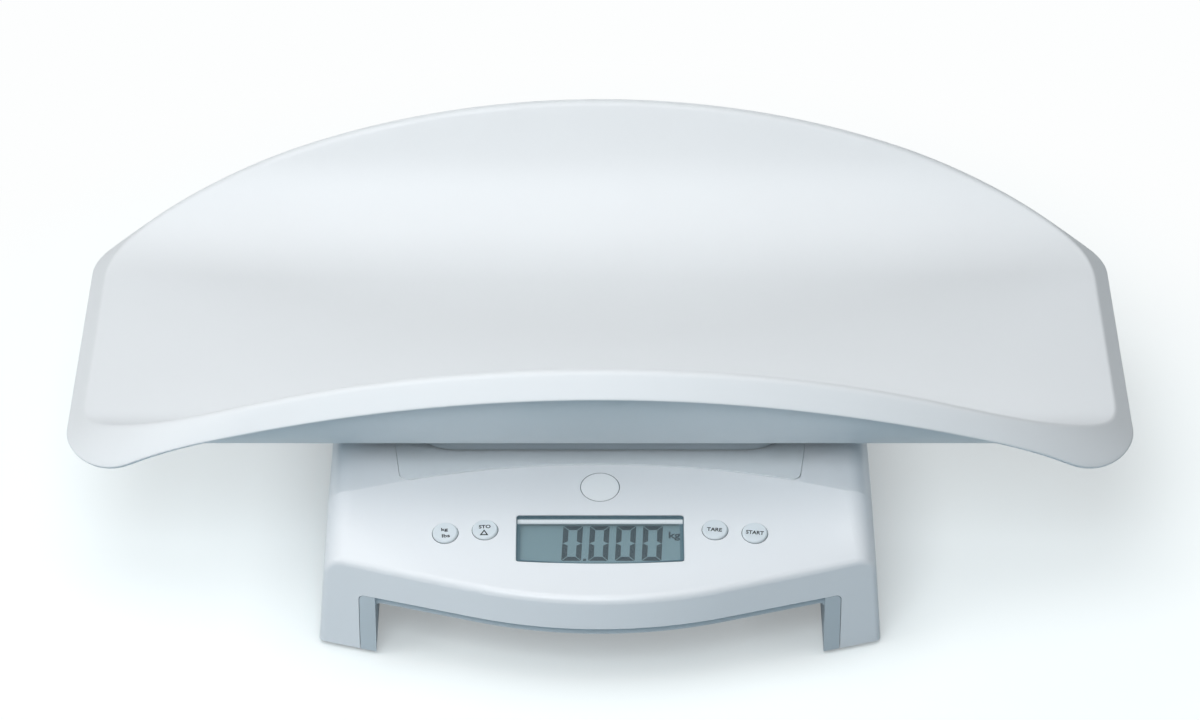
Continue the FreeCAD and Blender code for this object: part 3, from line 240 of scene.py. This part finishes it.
def on_face(x, y, z, normal):
    """The place of something lying on the panel: Z out of it, Y up its slope."""
    out = Vector(normal).normalized()
    side = (Vector((1, 0, 0)) - out * out.x).normalized()
    turn = Matrix((side, out.cross(side), out)).transposed().to_4x4()
    return Matrix.Translation(Vector((x, y, z)) * MM) @ turn


def slabs(outlines, low, high):
    """Flat outlines in mm, each made a thin closed solid between two levels."""
    points, faces = [], []
    for outline in outlines:
        first, count = len(points), len(outline)
        points += [(x, y, z) for z in (low, high) for x, y in outline]
        faces.append(tuple(range(first + count - 1, first - 1, -1)))
        faces.append(tuple(range(first + count, first + 2 * count)))
        for i in range(count):
            j = (i + 1) % count
            faces.append((first + i, first + j, first + count + j, first + count + i))
    return points, faces


def ring(outer, inner, low, high):
    """A flat ring in mm between two loops of as many points, as a thin closed solid."""
    count = len(outer)
    points = [(x, y, z) for z in (low, high) for loop in (outer, inner) for x, y in loop]
    faces = []
    for i in range(count):
        j = (i + 1) % count
        a, b, c, d = (start + i for start in (0, count, 2 * count, 3 * count))
        e, f, g, h = (start + j for start in (0, count, 2 * count, 3 * count))
        faces += [(a, b, f, e), (c, g, h, d), (a, e, g, c), (b, d, h, f)]
    return points, faces


def placed(points, place):
    """Points in mm on the panel, brought to where they stand, in metres."""
    return [place @ (Vector(p) * MM) for p in points]


def shaped(name, points, faces, made):
    """A piece with one material, from points in metres where it stands."""
    mesh = bpy.data.meshes.new(name)
    mesh.from_pydata(points, [], faces)
    mesh.materials.append(made)
    thing = bpy.data.objects.new(name, mesh)
    bpy.context.scene.collection.objects.link(thing)
    return thing


def fixed(thing, body):
    """Fixes a piece to a body."""
    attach(thing, body)


def zero_segments(width=10.0, high=23.9, thick=2.75, gap=0.3):
    """The six lit segments of a nought: long mitred bars with a nick half way up."""
    half = high / 2
    low_bar = [(gap, 0), (width - gap, 0), (width - thick - gap, thick), (thick + gap, thick)]
    side = [(0, gap), (thick, thick + gap), (thick, half - thick * 0.55),
            (thick * 0.2, half - gap / 2), (0, half - gap)]
    bars = [low_bar, [(x, high - y) for x, y in low_bar][::-1]]
    for flip_x in (False, True):
        for flip_y in (False, True):
            bar = [(width - x if flip_x else x, high - y if flip_y else y) for x, y in side]
            bars.append(bar[::-1] if flip_x == flip_y else bar)
    return [[(x + DIGIT_LEAN * y, y) for x, y in bar] for bar in bars]


def digit_row(one, count, pitch, made):
    """Geometry Nodes: one digit repeated along a row, then made real."""
    tree = bpy.data.node_groups.new("digit_row", "GeometryNodeTree")
    sockets = {name: tree.interface.new_socket(name=name, in_out=way, socket_type=kind)
               for name, kind, way in (("Digit", "NodeSocketGeometry", "INPUT"),
                                       ("Digits", "NodeSocketInt", "INPUT"),
                                       ("Pitch", "NodeSocketVector", "INPUT"),
                                       ("Row", "NodeSocketGeometry", "OUTPUT"))}
    given, result = tree.nodes.new("NodeGroupInput"), tree.nodes.new("NodeGroupOutput")
    places = add(tree, "GeometryNodeMeshLine",
                 links={"Count": (given, "Digits"), "Offset": (given, "Pitch")})
    copies = add(tree, "GeometryNodeInstanceOnPoints",
                 links={"Points": (places, "Mesh"), "Instance": (given, "Digit")})
    real = add(tree, "GeometryNodeRealizeInstances", links={"Geometry": (copies, "Instances")})
    dressed = add(tree, "GeometryNodeSetMaterial", {"Material": made},
                  {"Geometry": (real, "Geometry")})
    tree.links.new(dressed.outputs["Geometry"], result.inputs["Row"])
    row = one.modifiers.new("row", "NODES")
    row.node_group = tree
    row[sockets["Digits"].identifier] = count
    row[sockets["Pitch"].identifier] = pitch
    seen = bpy.context.evaluated_depsgraph_get()
    mesh = bpy.data.meshes.new_from_object(one.evaluated_get(seen))
    one.modifiers.remove(row)
    one.data = mesh


def window_loop(inset, count=16, steps=4):
    """The window's outline moved inward: a bowed front edge, a straight back one, round corners."""
    half, deep, turn = WINDOW_HALF - inset, WINDOW_DEEP - inset, max(WINDOW_ROUND - inset, 0.5)
    xs = np.linspace(turn - half, half - turn, count)
    front = [(x, -deep + WINDOW_BOW * (x / half) ** 2) for x in xs]
    low, wide = front[-1][1] + turn, half - turn
    centres = ((wide, low), (wide, deep - turn), (-wide, deep - turn), (-wide, low))
    bends = []
    for quarter, (x, y) in enumerate(centres):
        for i in range(quarter == 0, steps + (quarter < 3)):
            angle = math.radians(90 * (quarter - 1 + i / steps))
            bends.append((x + turn * math.cos(angle), y + turn * math.sin(angle)))
    return front + bends


def words(text, middle, width, high_mm, low, high, turn=0.0):
    """Plain lettering in mm, fitted to a box on the panel, as a thin closed solid."""
    curve = bpy.data.curves.new("words", "FONT")
    curve.body, curve.extrude, curve.resolution_u, curve.offset = text, 0.5, 3, BOLDER
    thing = bpy.data.objects.new("words", curve)
    bpy.context.scene.collection.objects.link(thing)
    seen = bpy.context.evaluated_depsgraph_get()
    mesh = bpy.data.meshes.new_from_object(thing.evaluated_get(seen))
    spots = np.array([v.co[:] for v in mesh.vertices])
    faces = [tuple(f.vertices) for f in mesh.polygons]
    bpy.data.objects.remove(thing)
    bottom, top = spots.min(0), spots.max(0)
    x, y, z = ((spots - bottom) / (top - bottom)).T
    x, y = (x - 0.5) * width, (y - 0.5) * high_mm
    cosine, sine = math.cos(math.radians(turn)), math.sin(math.radians(turn))
    fitted = np.column_stack([middle[0] + x * cosine - y * sine,
                              middle[1] + x * sine + y * cosine, low + z * (high - low)])
    return fitted.tolist(), faces


finish(clear_acrylic(), "display_window")
WINDOW = on_face(0, -127.55, 62.857, (0, -0.21773, 0.97601))

points, faces = slabs(zero_segments(), *SEGMENTS)
first_digit = WINDOW @ Matrix.Translation(Vector((-19.6, -11.7, 0)) * MM)
digits = shaped("display_digits", placed(points, first_digit), faces, segment_dark)
digit_row(digits, DIGITS, (DIGIT_PITCH * MM, 0, 0), segment_dark)
fixed(digits, "base")

point = [(-8.6, -11.8), (-7.1, -11.8), (-7.0, -10.3), (-8.5, -10.3)]
# The painted highlight strip along the window's top, in mm on the panel.
bar = [(-42.1, 11.8), (42.1, 11.8), (42.1, 15.0), (-42.1, 15.0)]
for name, (points, faces), made, slot in (
        ("display_point", slabs([point], *SEGMENTS), segment_dark, "inner_plastic"),
        ("display_unit", words("kg", (37.9, 5.3), 6.0, 6.2, *SEGMENTS), segment_dark,
         "inner_plastic"),
        ("window_border", ring(window_loop(0), window_loop(BORDER_WIDE), *BORDER), dark_print_and_edge_shade,
         "inner_plastic"),
        # A dark ring on the window's edge: painted shade of the window's well.
        ("window_edge_shade", ring(window_loop(0.02), window_loop(0.3), *EDGE_SHADE), dark_print_and_edge_shade,
         "inner_plastic"),
        ("window_painted_highlight", slabs([bar], *HIGHLIGHT_LEVELS), painted_highlight_strip(), "display_glass")):
    fixed(shaped(name, placed(points, WINDOW), faces, made), "base")


# ---- Keys and release button: round caps, injection-moulded in ABS. Each has a flange under
# the panel and stands through a hole in it, with a dark ring in the gap as painted shade. The
# keys carry pad-printed words.

CAP = 1.2
PRINT = (CAP - 0.1, CAP + 0.05)
KEY_RADIUS, KEY_GAP, BUTTON_RADIUS, BUTTON_GAP = 6.45, 0.35, 9.75, 0.4
# Levels and play of the dark rings of painted shade in the gaps round the caps.
GAP_SHADE_LEVELS, RING_PLAY = (-0.7, -0.12), 0.03

# Satin ABS, the keys a touch darker and bluer than the button; black ink; a dark ring of painted
# shade in the gaps.
key_grey = grained("satin_key_abs", "#E4EBEF", 0.36, 0.5, 0.008, tint=0.02)
button_white = grained("satin_button_abs", "#FAFCFD", 0.34, 0.5, 0.008, tint=0.01)
legend_ink = grained("pad_printed_ink", "#10181D", 0.5, 0.4, 0.002, tint=0.04)
gap_shade_ink = grained("painted_gap_shade", "#2C3940", 0.8, 0.3, 0.01, tint=0.1)
finish(key_grey, "key_left_outer", "key_left_inner", "key_right_inner", "key_right_outer")
finish(button_white, "release_button")


def legend(name, place, pieces, body):
    """Pad-printed marks on a key's cap, joined into one piece."""
    points, faces = [], []
    for more, sides in pieces:
        faces += [tuple(len(points) + i for i in side) for side in sides]
        points += more
    fixed(shaped(name, placed(points, place), faces, legend_ink), body)


def mark(text, middle, width, high_mm, turn):
    """One word printed on a cap."""
    return words(text, middle, width, high_mm, *PRINT, turn)


def gap_shade_ring(name, place, radius, gap, count=64):
    """A dark ring of painted shade lying in the gap round a cap, a little below the panel."""
    turns = [2 * math.pi * i / count for i in range(count)]
    outer, inner = ([(reach * math.cos(t), reach * math.sin(t)) for t in turns]
                    for reach in (radius + gap - RING_PLAY, radius + RING_PLAY))
    points, faces = ring(outer, inner, *GAP_SHADE_LEVELS)
    fixed(shaped(name, placed(points, place), faces, gap_shade_ink), "base")


triangle = ring([(-2.6, -4.4), (1.8, -4.4), (-0.4, -0.6)],
                [(-1.6, -3.8), (0.8, -3.8), (-0.4, -1.75)], *PRINT)
caps = {
    "left_outer": (on_face(-78.6, -122.5, 63.015, (-0.02148, -0.29173, 0.95626)),
                   [mark("kg", (-0.3, 1.3), 3.4, 2.6, 3), mark("lbs", (0.45, -2.5), 4.1, 2.2, 3)]),
    "left_inner": (on_face(-58.4, -120.9, 63.893, (-0.01751, -0.25386, 0.96708)),
                   [mark("STO", (-0.15, 1.3), 6.0, 2.3, 2), triangle]),
    "right_inner": (on_face(58.4, -120.9, 63.893, (0.01751, -0.25386, 0.96708)),
                    [mark("TARE", (-0.3, -0.6), 7.7, 2.4, -4)]),
    "right_outer": (on_face(78.6, -122.5, 63.015, (0.02148, -0.29173, 0.95626)),
                    [mark("START", (0.0, -0.4), 9.1, 2.4, -5)]),
}
for key, (place, pieces) in caps.items():
    legend(f"legend_{key}", place, pieces, f"key_{key}_body")
    gap_shade_ring(f"key_gap_shade_{key}", place, KEY_RADIUS, KEY_GAP)
BUTTON = on_face(0, -92.1, 70.765, (0, -0.217725, 0.97601))
gap_shade_ring("button_gap_shade", BUTTON, BUTTON_RADIUS, BUTTON_GAP)


# ---- Return springs: coils of hard-drawn spring wire, one under the release button and one
# before its latch slide. Both stand on the base and are pressed together by what they return.

WIRE, PITCH = 0.38, 2.2
BUTTON_SEAT = -12.0
BUTTON_COIL, BUTTON_LENGTH, BUTTON_SQUEEZE = 5.2, 6.4, 3.0
LATCH_COIL, LATCH_LENGTH, LATCH_SQUEEZE = 2.4, 9.9, 2.4

# Bright drawn wire, smooth along its length.
spring_steel = grained("hard_drawn_spring_steel", "#AEB2B6", 0.25, 0.2, 0.005, metallic=1.0)


def coil_tree():
    """Geometry Nodes: a round wire wound along a spiral, standing on its own Z axis."""
    tree = bpy.data.node_groups.new("wound_wire", "GeometryNodeTree")
    sockets = {name: tree.interface.new_socket(name=name, in_out=way, socket_type=kind)
               for name, kind, way in (("Wire", "NodeSocketGeometry", "INPUT"),
                                       ("Radius", "NodeSocketFloat", "INPUT"),
                                       ("Turns", "NodeSocketFloat", "INPUT"),
                                       ("Rise", "NodeSocketFloat", "INPUT"),
                                       ("Thickness", "NodeSocketFloat", "INPUT"),
                                       ("Coil", "NodeSocketGeometry", "OUTPUT"))}
    given, result = tree.nodes.new("NodeGroupInput"), tree.nodes.new("NodeGroupOutput")
    spiral = add(tree, "GeometryNodeCurveSpiral", {"Resolution": 24},
                 {"Rotations": (given, "Turns"), "Start Radius": (given, "Radius"),
                  "End Radius": (given, "Radius"), "Height": (given, "Rise")})
    section = add(tree, "GeometryNodeCurvePrimitiveCircle", {"Resolution": 10},
                  {"Radius": (given, "Thickness")})
    wound = add(tree, "GeometryNodeCurveToMesh", {"Fill Caps": True},
                {"Curve": (spiral, "Curve"), "Profile Curve": (section, "Curve")})
    real = add(tree, "GeometryNodeRealizeInstances", links={"Geometry": (wound, "Mesh")})
    dressed = add(tree, "GeometryNodeSetMaterial", {"Material": spring_steel},
                  {"Geometry": (real, "Geometry")})
    tree.links.new(dressed.outputs["Geometry"], result.inputs["Coil"])
    return tree, sockets


def spring(name, place, radius, length, node):
    """A coil in mm from its fixed end along the place's Z, standing in for a part, which it hides.
    """
    thing = shaped(name, [], [], spring_steel)
    winding = thing.modifiers.new("winding", "NODES")
    winding.node_group = wound_wire
    rise = length - 2 * WIRE
    for socket, amount in (("Radius", radius * MM), ("Turns", rise / PITCH),
                           ("Rise", rise * MM), ("Thickness", WIRE * MM)):
        winding[coil_sockets[socket].identifier] = amount
    seen = bpy.context.evaluated_depsgraph_get()
    mesh = bpy.data.meshes.new_from_object(thing.evaluated_get(seen))
    thing.modifiers.remove(winding)
    mesh.transform(place @ Matrix.Translation((0, 0, WIRE * MM)))
    mesh.polygons.foreach_set("use_smooth", [True] * len(mesh.polygons))
    thing.data = mesh
    fixed(thing, "base")
    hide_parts(node)
    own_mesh(thing)


wound_wire, coil_sockets = coil_tree()
spring("button_coil", BUTTON @ Matrix.Translation((0, 0, BUTTON_SEAT * MM)), BUTTON_COIL,
       BUTTON_LENGTH, "button_spring")
low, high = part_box("latch_spring")
spring("latch_coil", on_face(0, low[1] / MM, (low[2] + high[2]) / 2 / MM, (0, 1, 0)), LATCH_COIL,
       LATCH_LENGTH, "latch_spring")


# ---- Tray: one large injection moulding in white ABS, 3 mm thick. A trough with tall front
# and back walls rolls over at its crest into a lip that falls away on all four sides and
# stops on a long arched edge; the underpan and the saddle are screwed up into it.

FLOOR_Z, FLOOR_HALF, BEND, WALL = 88.0, 62.7, 65.0, math.radians(69)
CREST_Z, CREST_HALF, CREST_ARC, CREST_ROUND = 160.4, 135.2, 365.0, 3.4
LIP, END_LIP, CORNER, END_HALF = math.radians(57), math.radians(36), 62.0, 267.4
EDGE_DROP, EDGE_ARC, EDGE_TURN, END_ARC, EDGE_BLEND, END_DROP = 16.2, 580.0, 200.0, 260.0, 60.0, 6.3
TRAY_Y, SKIN, EDGE_BEVEL = 22.0, 3.0, 1.1
# Rays out from the middle find the crest, between two shares of their reach.
RAYS, RAY_REACH, RAY_FROM, RAY_TO = 4000, (300, 160), 0.3, 1.15
CORNER_AT = (251, 94)
# The lip's edge lies between two distances from the crest, and the skin between two heights.
LIP_FROM, LIP_TO, SKIN_FROM, SKIN_TO = 1.0, 60.0, 40.0, 190.0
# Rings of points, in mm inward and outward from the crest, close together where it rolls over.
CREST_RINGS = (-9, -6.5, -4.8, -3.8, -3.1, -2.5, -2.0, -1.5, -1.0, -0.5, 0, 0.5, 1.0, 1.5, 2.0,
               2.6, 3.2, 3.9, 4.8)

# Satin white ABS; the pan below is glossier and cooler, the saddle greyer and grained.
tray_white = grained("satin_tray_abs", "#F4F6F7", 0.46, 0.8, 0.006, tint=0.01)
underpan_white = grained("satin_underpan_abs", "#E6ECEF", 0.36, 0.8, 0.006, tint=0.01)
saddle_grey = grained("grained_saddle_abs", "#C7CFD4", 0.42, 0.5, 0.02)
finish(underpan_white, "tray_underpan")
finish(saddle_grey, "tray_saddle")


def trough_gap(p):
    """How far points stand off the trough's surface, in mm, above it positive."""
    half = np.abs(p[:, 1] - TRAY_Y) - FLOOR_HALF
    centre = FLOOR_Z + BEND
    angle = np.arctan2(half, centre - p[:, 2])
    on_bend = BEND - np.hypot(half, p[:, 2] - centre)
    off_wall = (-(half - BEND * math.sin(WALL)) * math.sin(WALL)
                + (p[:, 2] - centre + BEND * math.cos(WALL)) * math.cos(WALL))
    return np.where(half <= 0, p[:, 2] - FLOOR_Z, np.where(angle > WALL, off_wall, on_bend))


def meet(a, b, cosine, radius):
    """Two surfaces' gaps joined into one with a rounded edge between them."""
    p, q = a + radius, b + radius
    across = np.maximum(p * p + q * q - 2 * p * q * cosine, 0)
    corner = np.sqrt(across / np.maximum(1 - cosine ** 2, 1e-6))
    rounded = (p > q * cosine) & (q > p * cosine) & (np.maximum(p, q) > 0)
    return np.where(rounded, corner, np.maximum(p, q)) - radius


def lip_gap(p):
    """How far points stand outside the four falling lips with their rounded corners."""
    x, half = p[:, 0], np.abs(p[:, 1] - TRAY_Y)
    drop = np.sqrt(CREST_ARC ** 2 - x ** 2)
    slope = x / drop
    front = p[:, 2] - CREST_Z + CREST_ARC - drop + math.tan(LIP) * (half - CREST_HALF)
    steep = np.sqrt(1 + math.tan(LIP) ** 2 + slope ** 2)
    ends = np.abs(x) - END_HALF + (p[:, 2] - FLOOR_Z) / math.tan(END_LIP)
    cosine = (np.abs(slope) * math.sin(END_LIP) + math.cos(END_LIP)) / steep
    return meet(front / steep, ends * math.sin(END_LIP), cosine, CORNER)


def gradient(gap, p, step=0.01):
    """Unit directions in which a gap grows fastest."""
    rise = np.stack([gap(p + step * axis) - gap(p - step * axis) for axis in np.eye(3)], 1)
    return rise / np.maximum(np.linalg.norm(rise, axis=1, keepdims=True), 1e-9)


def tray_gap(p):
    """The whole upper skin, the crest rolled over between the trough and the lips."""
    cosine = (gradient(trough_gap, p) * gradient(lip_gap, p)).sum(1)
    return meet(trough_gap(p), lip_gap(p), cosine, CREST_ROUND)


def halve(test, low, high, rounds=40):
    """Where a growing test passes zero, found by halving."""
    for _ in range(rounds):
        middle = (low + high) / 2
        over = test(middle) > 0
        low, high = np.where(over, low, middle), np.where(over, middle, high)
    return (low + high) / 2


def trough_z(y):
    """Height of the trough: a flat floor, a bend and a straight wall on each side."""
    half = np.abs(y - TRAY_Y) - FLOOR_HALF
    bend = BEND * math.sin(WALL)
    wall = FLOOR_Z + BEND * (1 - math.cos(WALL)) + (half - bend) * math.tan(WALL)
    curve = FLOOR_Z + BEND - np.sqrt(np.maximum(BEND ** 2 - np.clip(half, 0, bend) ** 2, 0))
    return np.where(half > bend, wall, curve)


def edge_z(x):
    """Height of the lip's lower edge: a wide arch over the base, easing level at the ends."""
    x = np.abs(x)
    top, level = CREST_Z - EDGE_DROP, FLOOR_Z - END_DROP
    turn_z = top - EDGE_ARC + math.sqrt(EDGE_ARC ** 2 - EDGE_TURN ** 2)
    share = END_ARC / EDGE_ARC
    cx, cz = EDGE_TURN * (1 - share), turn_z - (turn_z - top + EDGE_ARC) * share
    flat_x = cx + math.sqrt((END_ARC + EDGE_BLEND) ** 2 - (level + EDGE_BLEND - cz) ** 2)
    meet_x = cx + (flat_x - cx) * END_ARC / (END_ARC + EDGE_BLEND)
    wide = top - EDGE_ARC + np.sqrt(EDGE_ARC ** 2 - np.minimum(x, EDGE_TURN) ** 2)
    steep = cz + np.sqrt(np.maximum(END_ARC ** 2 - (x - cx) ** 2, 0))
    ease = level + EDGE_BLEND - np.sqrt(np.maximum(EDGE_BLEND ** 2 - (x - flat_x) ** 2, 0))
    on_end = np.where(x < meet_x, steep, np.where(x < flat_x, ease, level))
    return np.where(x < EDGE_TURN, wide, on_end)


def crest_loop(along, across):
    """The crest in plan as four sides: front, right, back and left, corner to corner."""
    turn = np.linspace(0, 2 * math.pi, RAYS + 1)[:-1]
    way = np.stack([np.cos(turn) * RAY_REACH[0], np.sin(turn) * RAY_REACH[1]], 1)
    far = halve(lambda r: lip_gap(np.column_stack([r[:, None] * way + (0, TRAY_Y),
                                                   trough_z(r * way[:, 1] + TRAY_Y)])),
                np.full(RAYS, RAY_FROM), np.full(RAYS, RAY_TO))
    loop = far[:, None] * way + (0, TRAY_Y)
    corners = [int(np.argmin(np.hypot(loop[:, 0] - sx * CORNER_AT[0],
                                      loop[:, 1] - TRAY_Y - sy * CORNER_AT[1])))
               for sx, sy in ((-1, -1), (1, -1), (1, 1), (-1, 1))]
    sides = []
    for i, count in enumerate((along, across, along, across)):
        a, b = corners[i], corners[(i + 1) % 4]
        part = loop[a:b + 1] if b > a else np.vstack([loop[a:], loop[:b + 1]])
        walked = np.concatenate([[0], np.cumsum(np.hypot(*np.diff(part, axis=0).T))])
        at = np.linspace(0, walked[-1], count + 1)
        sides.append(np.column_stack([np.interp(at, walked, part[:, j]) for j in (0, 1)])[:-1])
    return np.vstack(sides)


def tray_skin(along=136, across=72, lip_rings=6):
    """The upper skin as one grid of four-sided faces: a patch in the hollow, rings over the lip."""
    loop = crest_loop(along, across)
    count = len(loop)
    ahead = np.roll(loop, -2, 0) - np.roll(loop, 2, 0)
    out = np.column_stack([ahead[:, 1], -ahead[:, 0]])
    for _ in range(6):
        out = (np.roll(out, 1, 0) + 2 * out + np.roll(out, -1, 0)) / 4
    out /= np.linalg.norm(out, axis=1, keepdims=True)

    def past_lip(w):
        """How far a spot out from the crest, level with the lip's lower edge, is past the lip."""
        plan = loop + w[:, None] * out
        return lip_gap(np.column_stack([plan, edge_z(plan[:, 0])]))

    end = halve(past_lip, np.full(count, LIP_FROM), np.full(count, LIP_TO))
    rings = [loop + w * out for w in CREST_RINGS]
    last = CREST_RINGS[-1]
    rings += [loop + (last + (end - last) * t)[:, None] * out
              for t in np.linspace(0, 1, lip_rings + 1)[1:]]
    front, right = rings[0][:along + 1], rings[0][along:along + across + 1]
    back = rings[0][along + across:2 * along + across + 1][::-1]
    left = np.vstack([rings[0][2 * along + across:], rings[0][:1]])[::-1]
    u = np.linspace(0, 1, along + 1)[:, None, None]
    v = np.linspace(0, 1, across + 1)[None, :, None]
    patch = ((1 - v) * front[:, None] + v * back[:, None] + (1 - u) * left[None] + u * right[None]
             - (1 - u) * (1 - v) * front[0] - u * (1 - v) * front[-1]
             - (1 - u) * v * back[0] - u * v * back[-1])
    inside = patch[1:-1, 1:-1].reshape(-1, 2)
    plan = np.vstack([inside, *rings])
    z = halve(lambda h: tray_gap(np.column_stack([plan, h])),
              np.full(len(plan), SKIN_FROM), np.full(len(plan), SKIN_TO))
    first = len(inside)

    def spot(i, j):
        """The point at a step along and a step across the patch, on its rim or inside."""
        if j == 0:
            return first + i
        if i == along:
            return first + along + j
        if j == across:
            return first + along + across + (along - i)
        if i == 0:
            return first + (2 * along + across + across - j) % count
        return (i - 1) * (across - 1) + j - 1

    faces = [(spot(i, j), spot(i + 1, j), spot(i + 1, j + 1), spot(i, j + 1))
             for i in range(along) for j in range(across)]
    for r in range(len(rings) - 1):
        a, b = first + r * count, first + (r + 1) * count
        faces += [(a + k, b + k, b + (k + 1) % count, a + (k + 1) % count) for k in range(count)]
    return (np.column_stack([plan, z]) * MM).tolist(), faces


tray = shaped("tray_moulding", *tray_skin(), tray_white)
tray.data.polygons.foreach_set("use_smooth", [True] * len(tray.data.polygons))
wall = tray.modifiers.new("wall", "SOLIDIFY")
wall.thickness, wall.offset = SKIN * MM, -1.0
lip_edge = tray.modifiers.new("lip_edge", "BEVEL")
lip_edge.width, lip_edge.segments, lip_edge.angle_limit = EDGE_BEVEL * MM, 3, math.radians(55)
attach(tray, "tray")
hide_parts("tray_shell")


# ---- Studio: a seamless white sweep of matt paper under large soft lamps, seen through a
# long lens from some 33 degrees above the table. Sizes here are in metres.

SWEEP_HALF, SWEEP_LEVEL = 6.0, -0.2 * MM
# Glow strengths of the paper in light and in painted contact shadow, and the reach and depth of
# that shadow.
PAPER_LIT, PAPER_SHADED, CONTACT_SHADE_REACH, CONTACT_SHADE_AO = 0.56, 0.30, 0.045, 0.3
WHITE_FROM, WHITE_TO = 0.28, 0.48
EYE, AIM, FOCAL, SENSOR = (0.0, -2.1916, 1.4918), (0, -0.0017, 0.0902), 148.47, 36.0


def white_sweep():
    """Matt white paper with a fibre some 1 mm long, lit to pure white away from the object, to
    the eye and in gloss. To the object's own undersides it is a blue-grey card, so that they
    stay in shade."""
    made, tree, shader = material("matt_white_paper")
    tree.nodes.remove(shader)
    place = add(tree, "ShaderNodeTexCoord")
    fibre = add(tree, "ShaderNodeTexNoise", {"Scale": 900.0, "Detail": 2.0},
                {"Vector": (place, "Object")})
    bump = add(tree, "ShaderNodeBump", {"Strength": 0.1, "Distance": 0.05 * MM},
               {"Height": (fibre, "Fac")})
    card, paper = (add(tree, "ShaderNodeBsdfDiffuse", {"Color": linear(colour)},
                       {"Normal": (bump, "Normal")}) for colour in ("#8AA3B0", "#C8CECE"))
    # The paper's glow is dimmed by ambient occlusion near and under the object: a painted contact
    # shadow.
    contact_shade = add(tree, "ShaderNodeAmbientOcclusion", {"samples": 8, "Distance": CONTACT_SHADE_REACH})
    lit = add(tree, "ShaderNodeMapRange",
              {"From Min": CONTACT_SHADE_AO, "To Min": PAPER_SHADED, "To Max": PAPER_LIT},
              {"Value": (contact_shade, "AO")})
    glow = add(tree, "ShaderNodeEmission", {"Color": linear("#F9FCFC")},
               {"Strength": (lit, "Result")})
    both = add(tree, "ShaderNodeAddShader")
    away = add(tree, "ShaderNodeVectorMath", {"operation": "LENGTH"}, {"Vector": (place, "Object")})
    far = add(tree, "ShaderNodeMapRange",
              {"interpolation_type": "SMOOTHSTEP", "From Min": WHITE_FROM, "From Max": WHITE_TO},
              {"Value": (away, "Value")})
    white = add(tree, "ShaderNodeEmission", {"Color": linear("#FDFEFE"), "Strength": 1.0})
    seen = add(tree, "ShaderNodeMixShader", links={"Fac": (far, "Result")})
    path = add(tree, "ShaderNodeLightPath")
    clear, either = (add(tree, "ShaderNodeMath", {"operation": "MAXIMUM"}) for _ in range(2))
    choice = add(tree, "ShaderNodeMixShader", links={"Fac": (either, "Value")})
    for source, output, target, entry in (
            (paper, "BSDF", both, 0), (glow, "Emission", both, 1),
            (both, "Shader", seen, 1), (white, "Emission", seen, 2),
            (path, "Is Camera Ray", clear, 0), (path, "Is Transmission Ray", clear, 1),
            (clear, "Value", either, 0), (path, "Is Glossy Ray", either, 1),
            (card, "BSDF", choice, 1), (seen, "Shader", choice, 2),
            (choice, "Shader", tree.nodes["Material Output"], "Surface")):
        tree.links.new(source.outputs[output], target.inputs[entry])
    return made


corners = [(x * SWEEP_HALF, y * SWEEP_HALF, SWEEP_LEVEL)
           for x, y in ((-1, -1), (1, -1), (1, 1), (-1, 1))]
shaped("floor", corners, [(0, 1, 2, 3)], white_sweep())


def lamp(name, place, aim, width, depth, watts, colour):
    """A rectangular soft box pointed at a spot."""
    light = bpy.data.lights.new(name, "AREA")
    light.shape, light.size, light.size_y = "RECTANGLE", width, depth
    light.energy, light.color = watts, linear(colour)[:3]
    thing = bpy.data.objects.new(name, light)
    thing.location = place
    thing.rotation_euler = (Vector(aim) - Vector(place)).to_track_quat("-Z", "Y").to_euler()
    bpy.context.scene.collection.objects.link(thing)


lamp("front_softbox", (-0.35, -1.75, 1.75), (0, 0, 0.08), 1.4, 1.0, 26.0, "#F6FAFE")
lamp("overhead_softbox", (-0.35, -0.35, 2.3), (0, 0, 0.05), 1.8, 1.4, 17.6, "#FBFDFF")
lamp("left_softbox", (-1.7, -0.7, 1.35), (0, 0, 0.08), 1.0, 1.0, 9.5, "#FFFDFB")
lamp("back_fill", (-0.1, 2.2, 0.8), (0, 0, 0.08), 1.4, 0.8, 8.0, "#F4F9FF")

world = bpy.data.worlds.new("studio")
bpy.context.scene.world = world
world.use_nodes = True
air = world.node_tree
haze = air.nodes["Background"]
haze.inputs["Color"].default_value = linear("#DCE8EE")
haze.inputs["Strength"].default_value = 0.15
white_back = add(air, "ShaderNodeBackground", {"Color": linear("#FDFEFE"), "Strength": 1.0})
sight = add(air, "ShaderNodeLightPath")
shown = add(air, "ShaderNodeMixShader", links={"Fac": (sight, "Is Camera Ray")})
air.links.new(haze.outputs["Background"], shown.inputs[1])
air.links.new(white_back.outputs["Background"], shown.inputs[2])
air.links.new(shown.outputs["Shader"], air.nodes["World Output"].inputs["Surface"])

lens = bpy.data.cameras.new("camera")
lens.lens, lens.sensor_width = FOCAL, SENSOR
camera = bpy.data.objects.new("camera", lens)
camera.location = EYE
camera.rotation_euler = (Vector(AIM) - camera.location).to_track_quat("-Z", "Y").to_euler()
bpy.context.scene.collection.objects.link(camera)
bpy.context.scene.camera = camera
bpy.context.scene.view_settings.view_transform = "Standard"
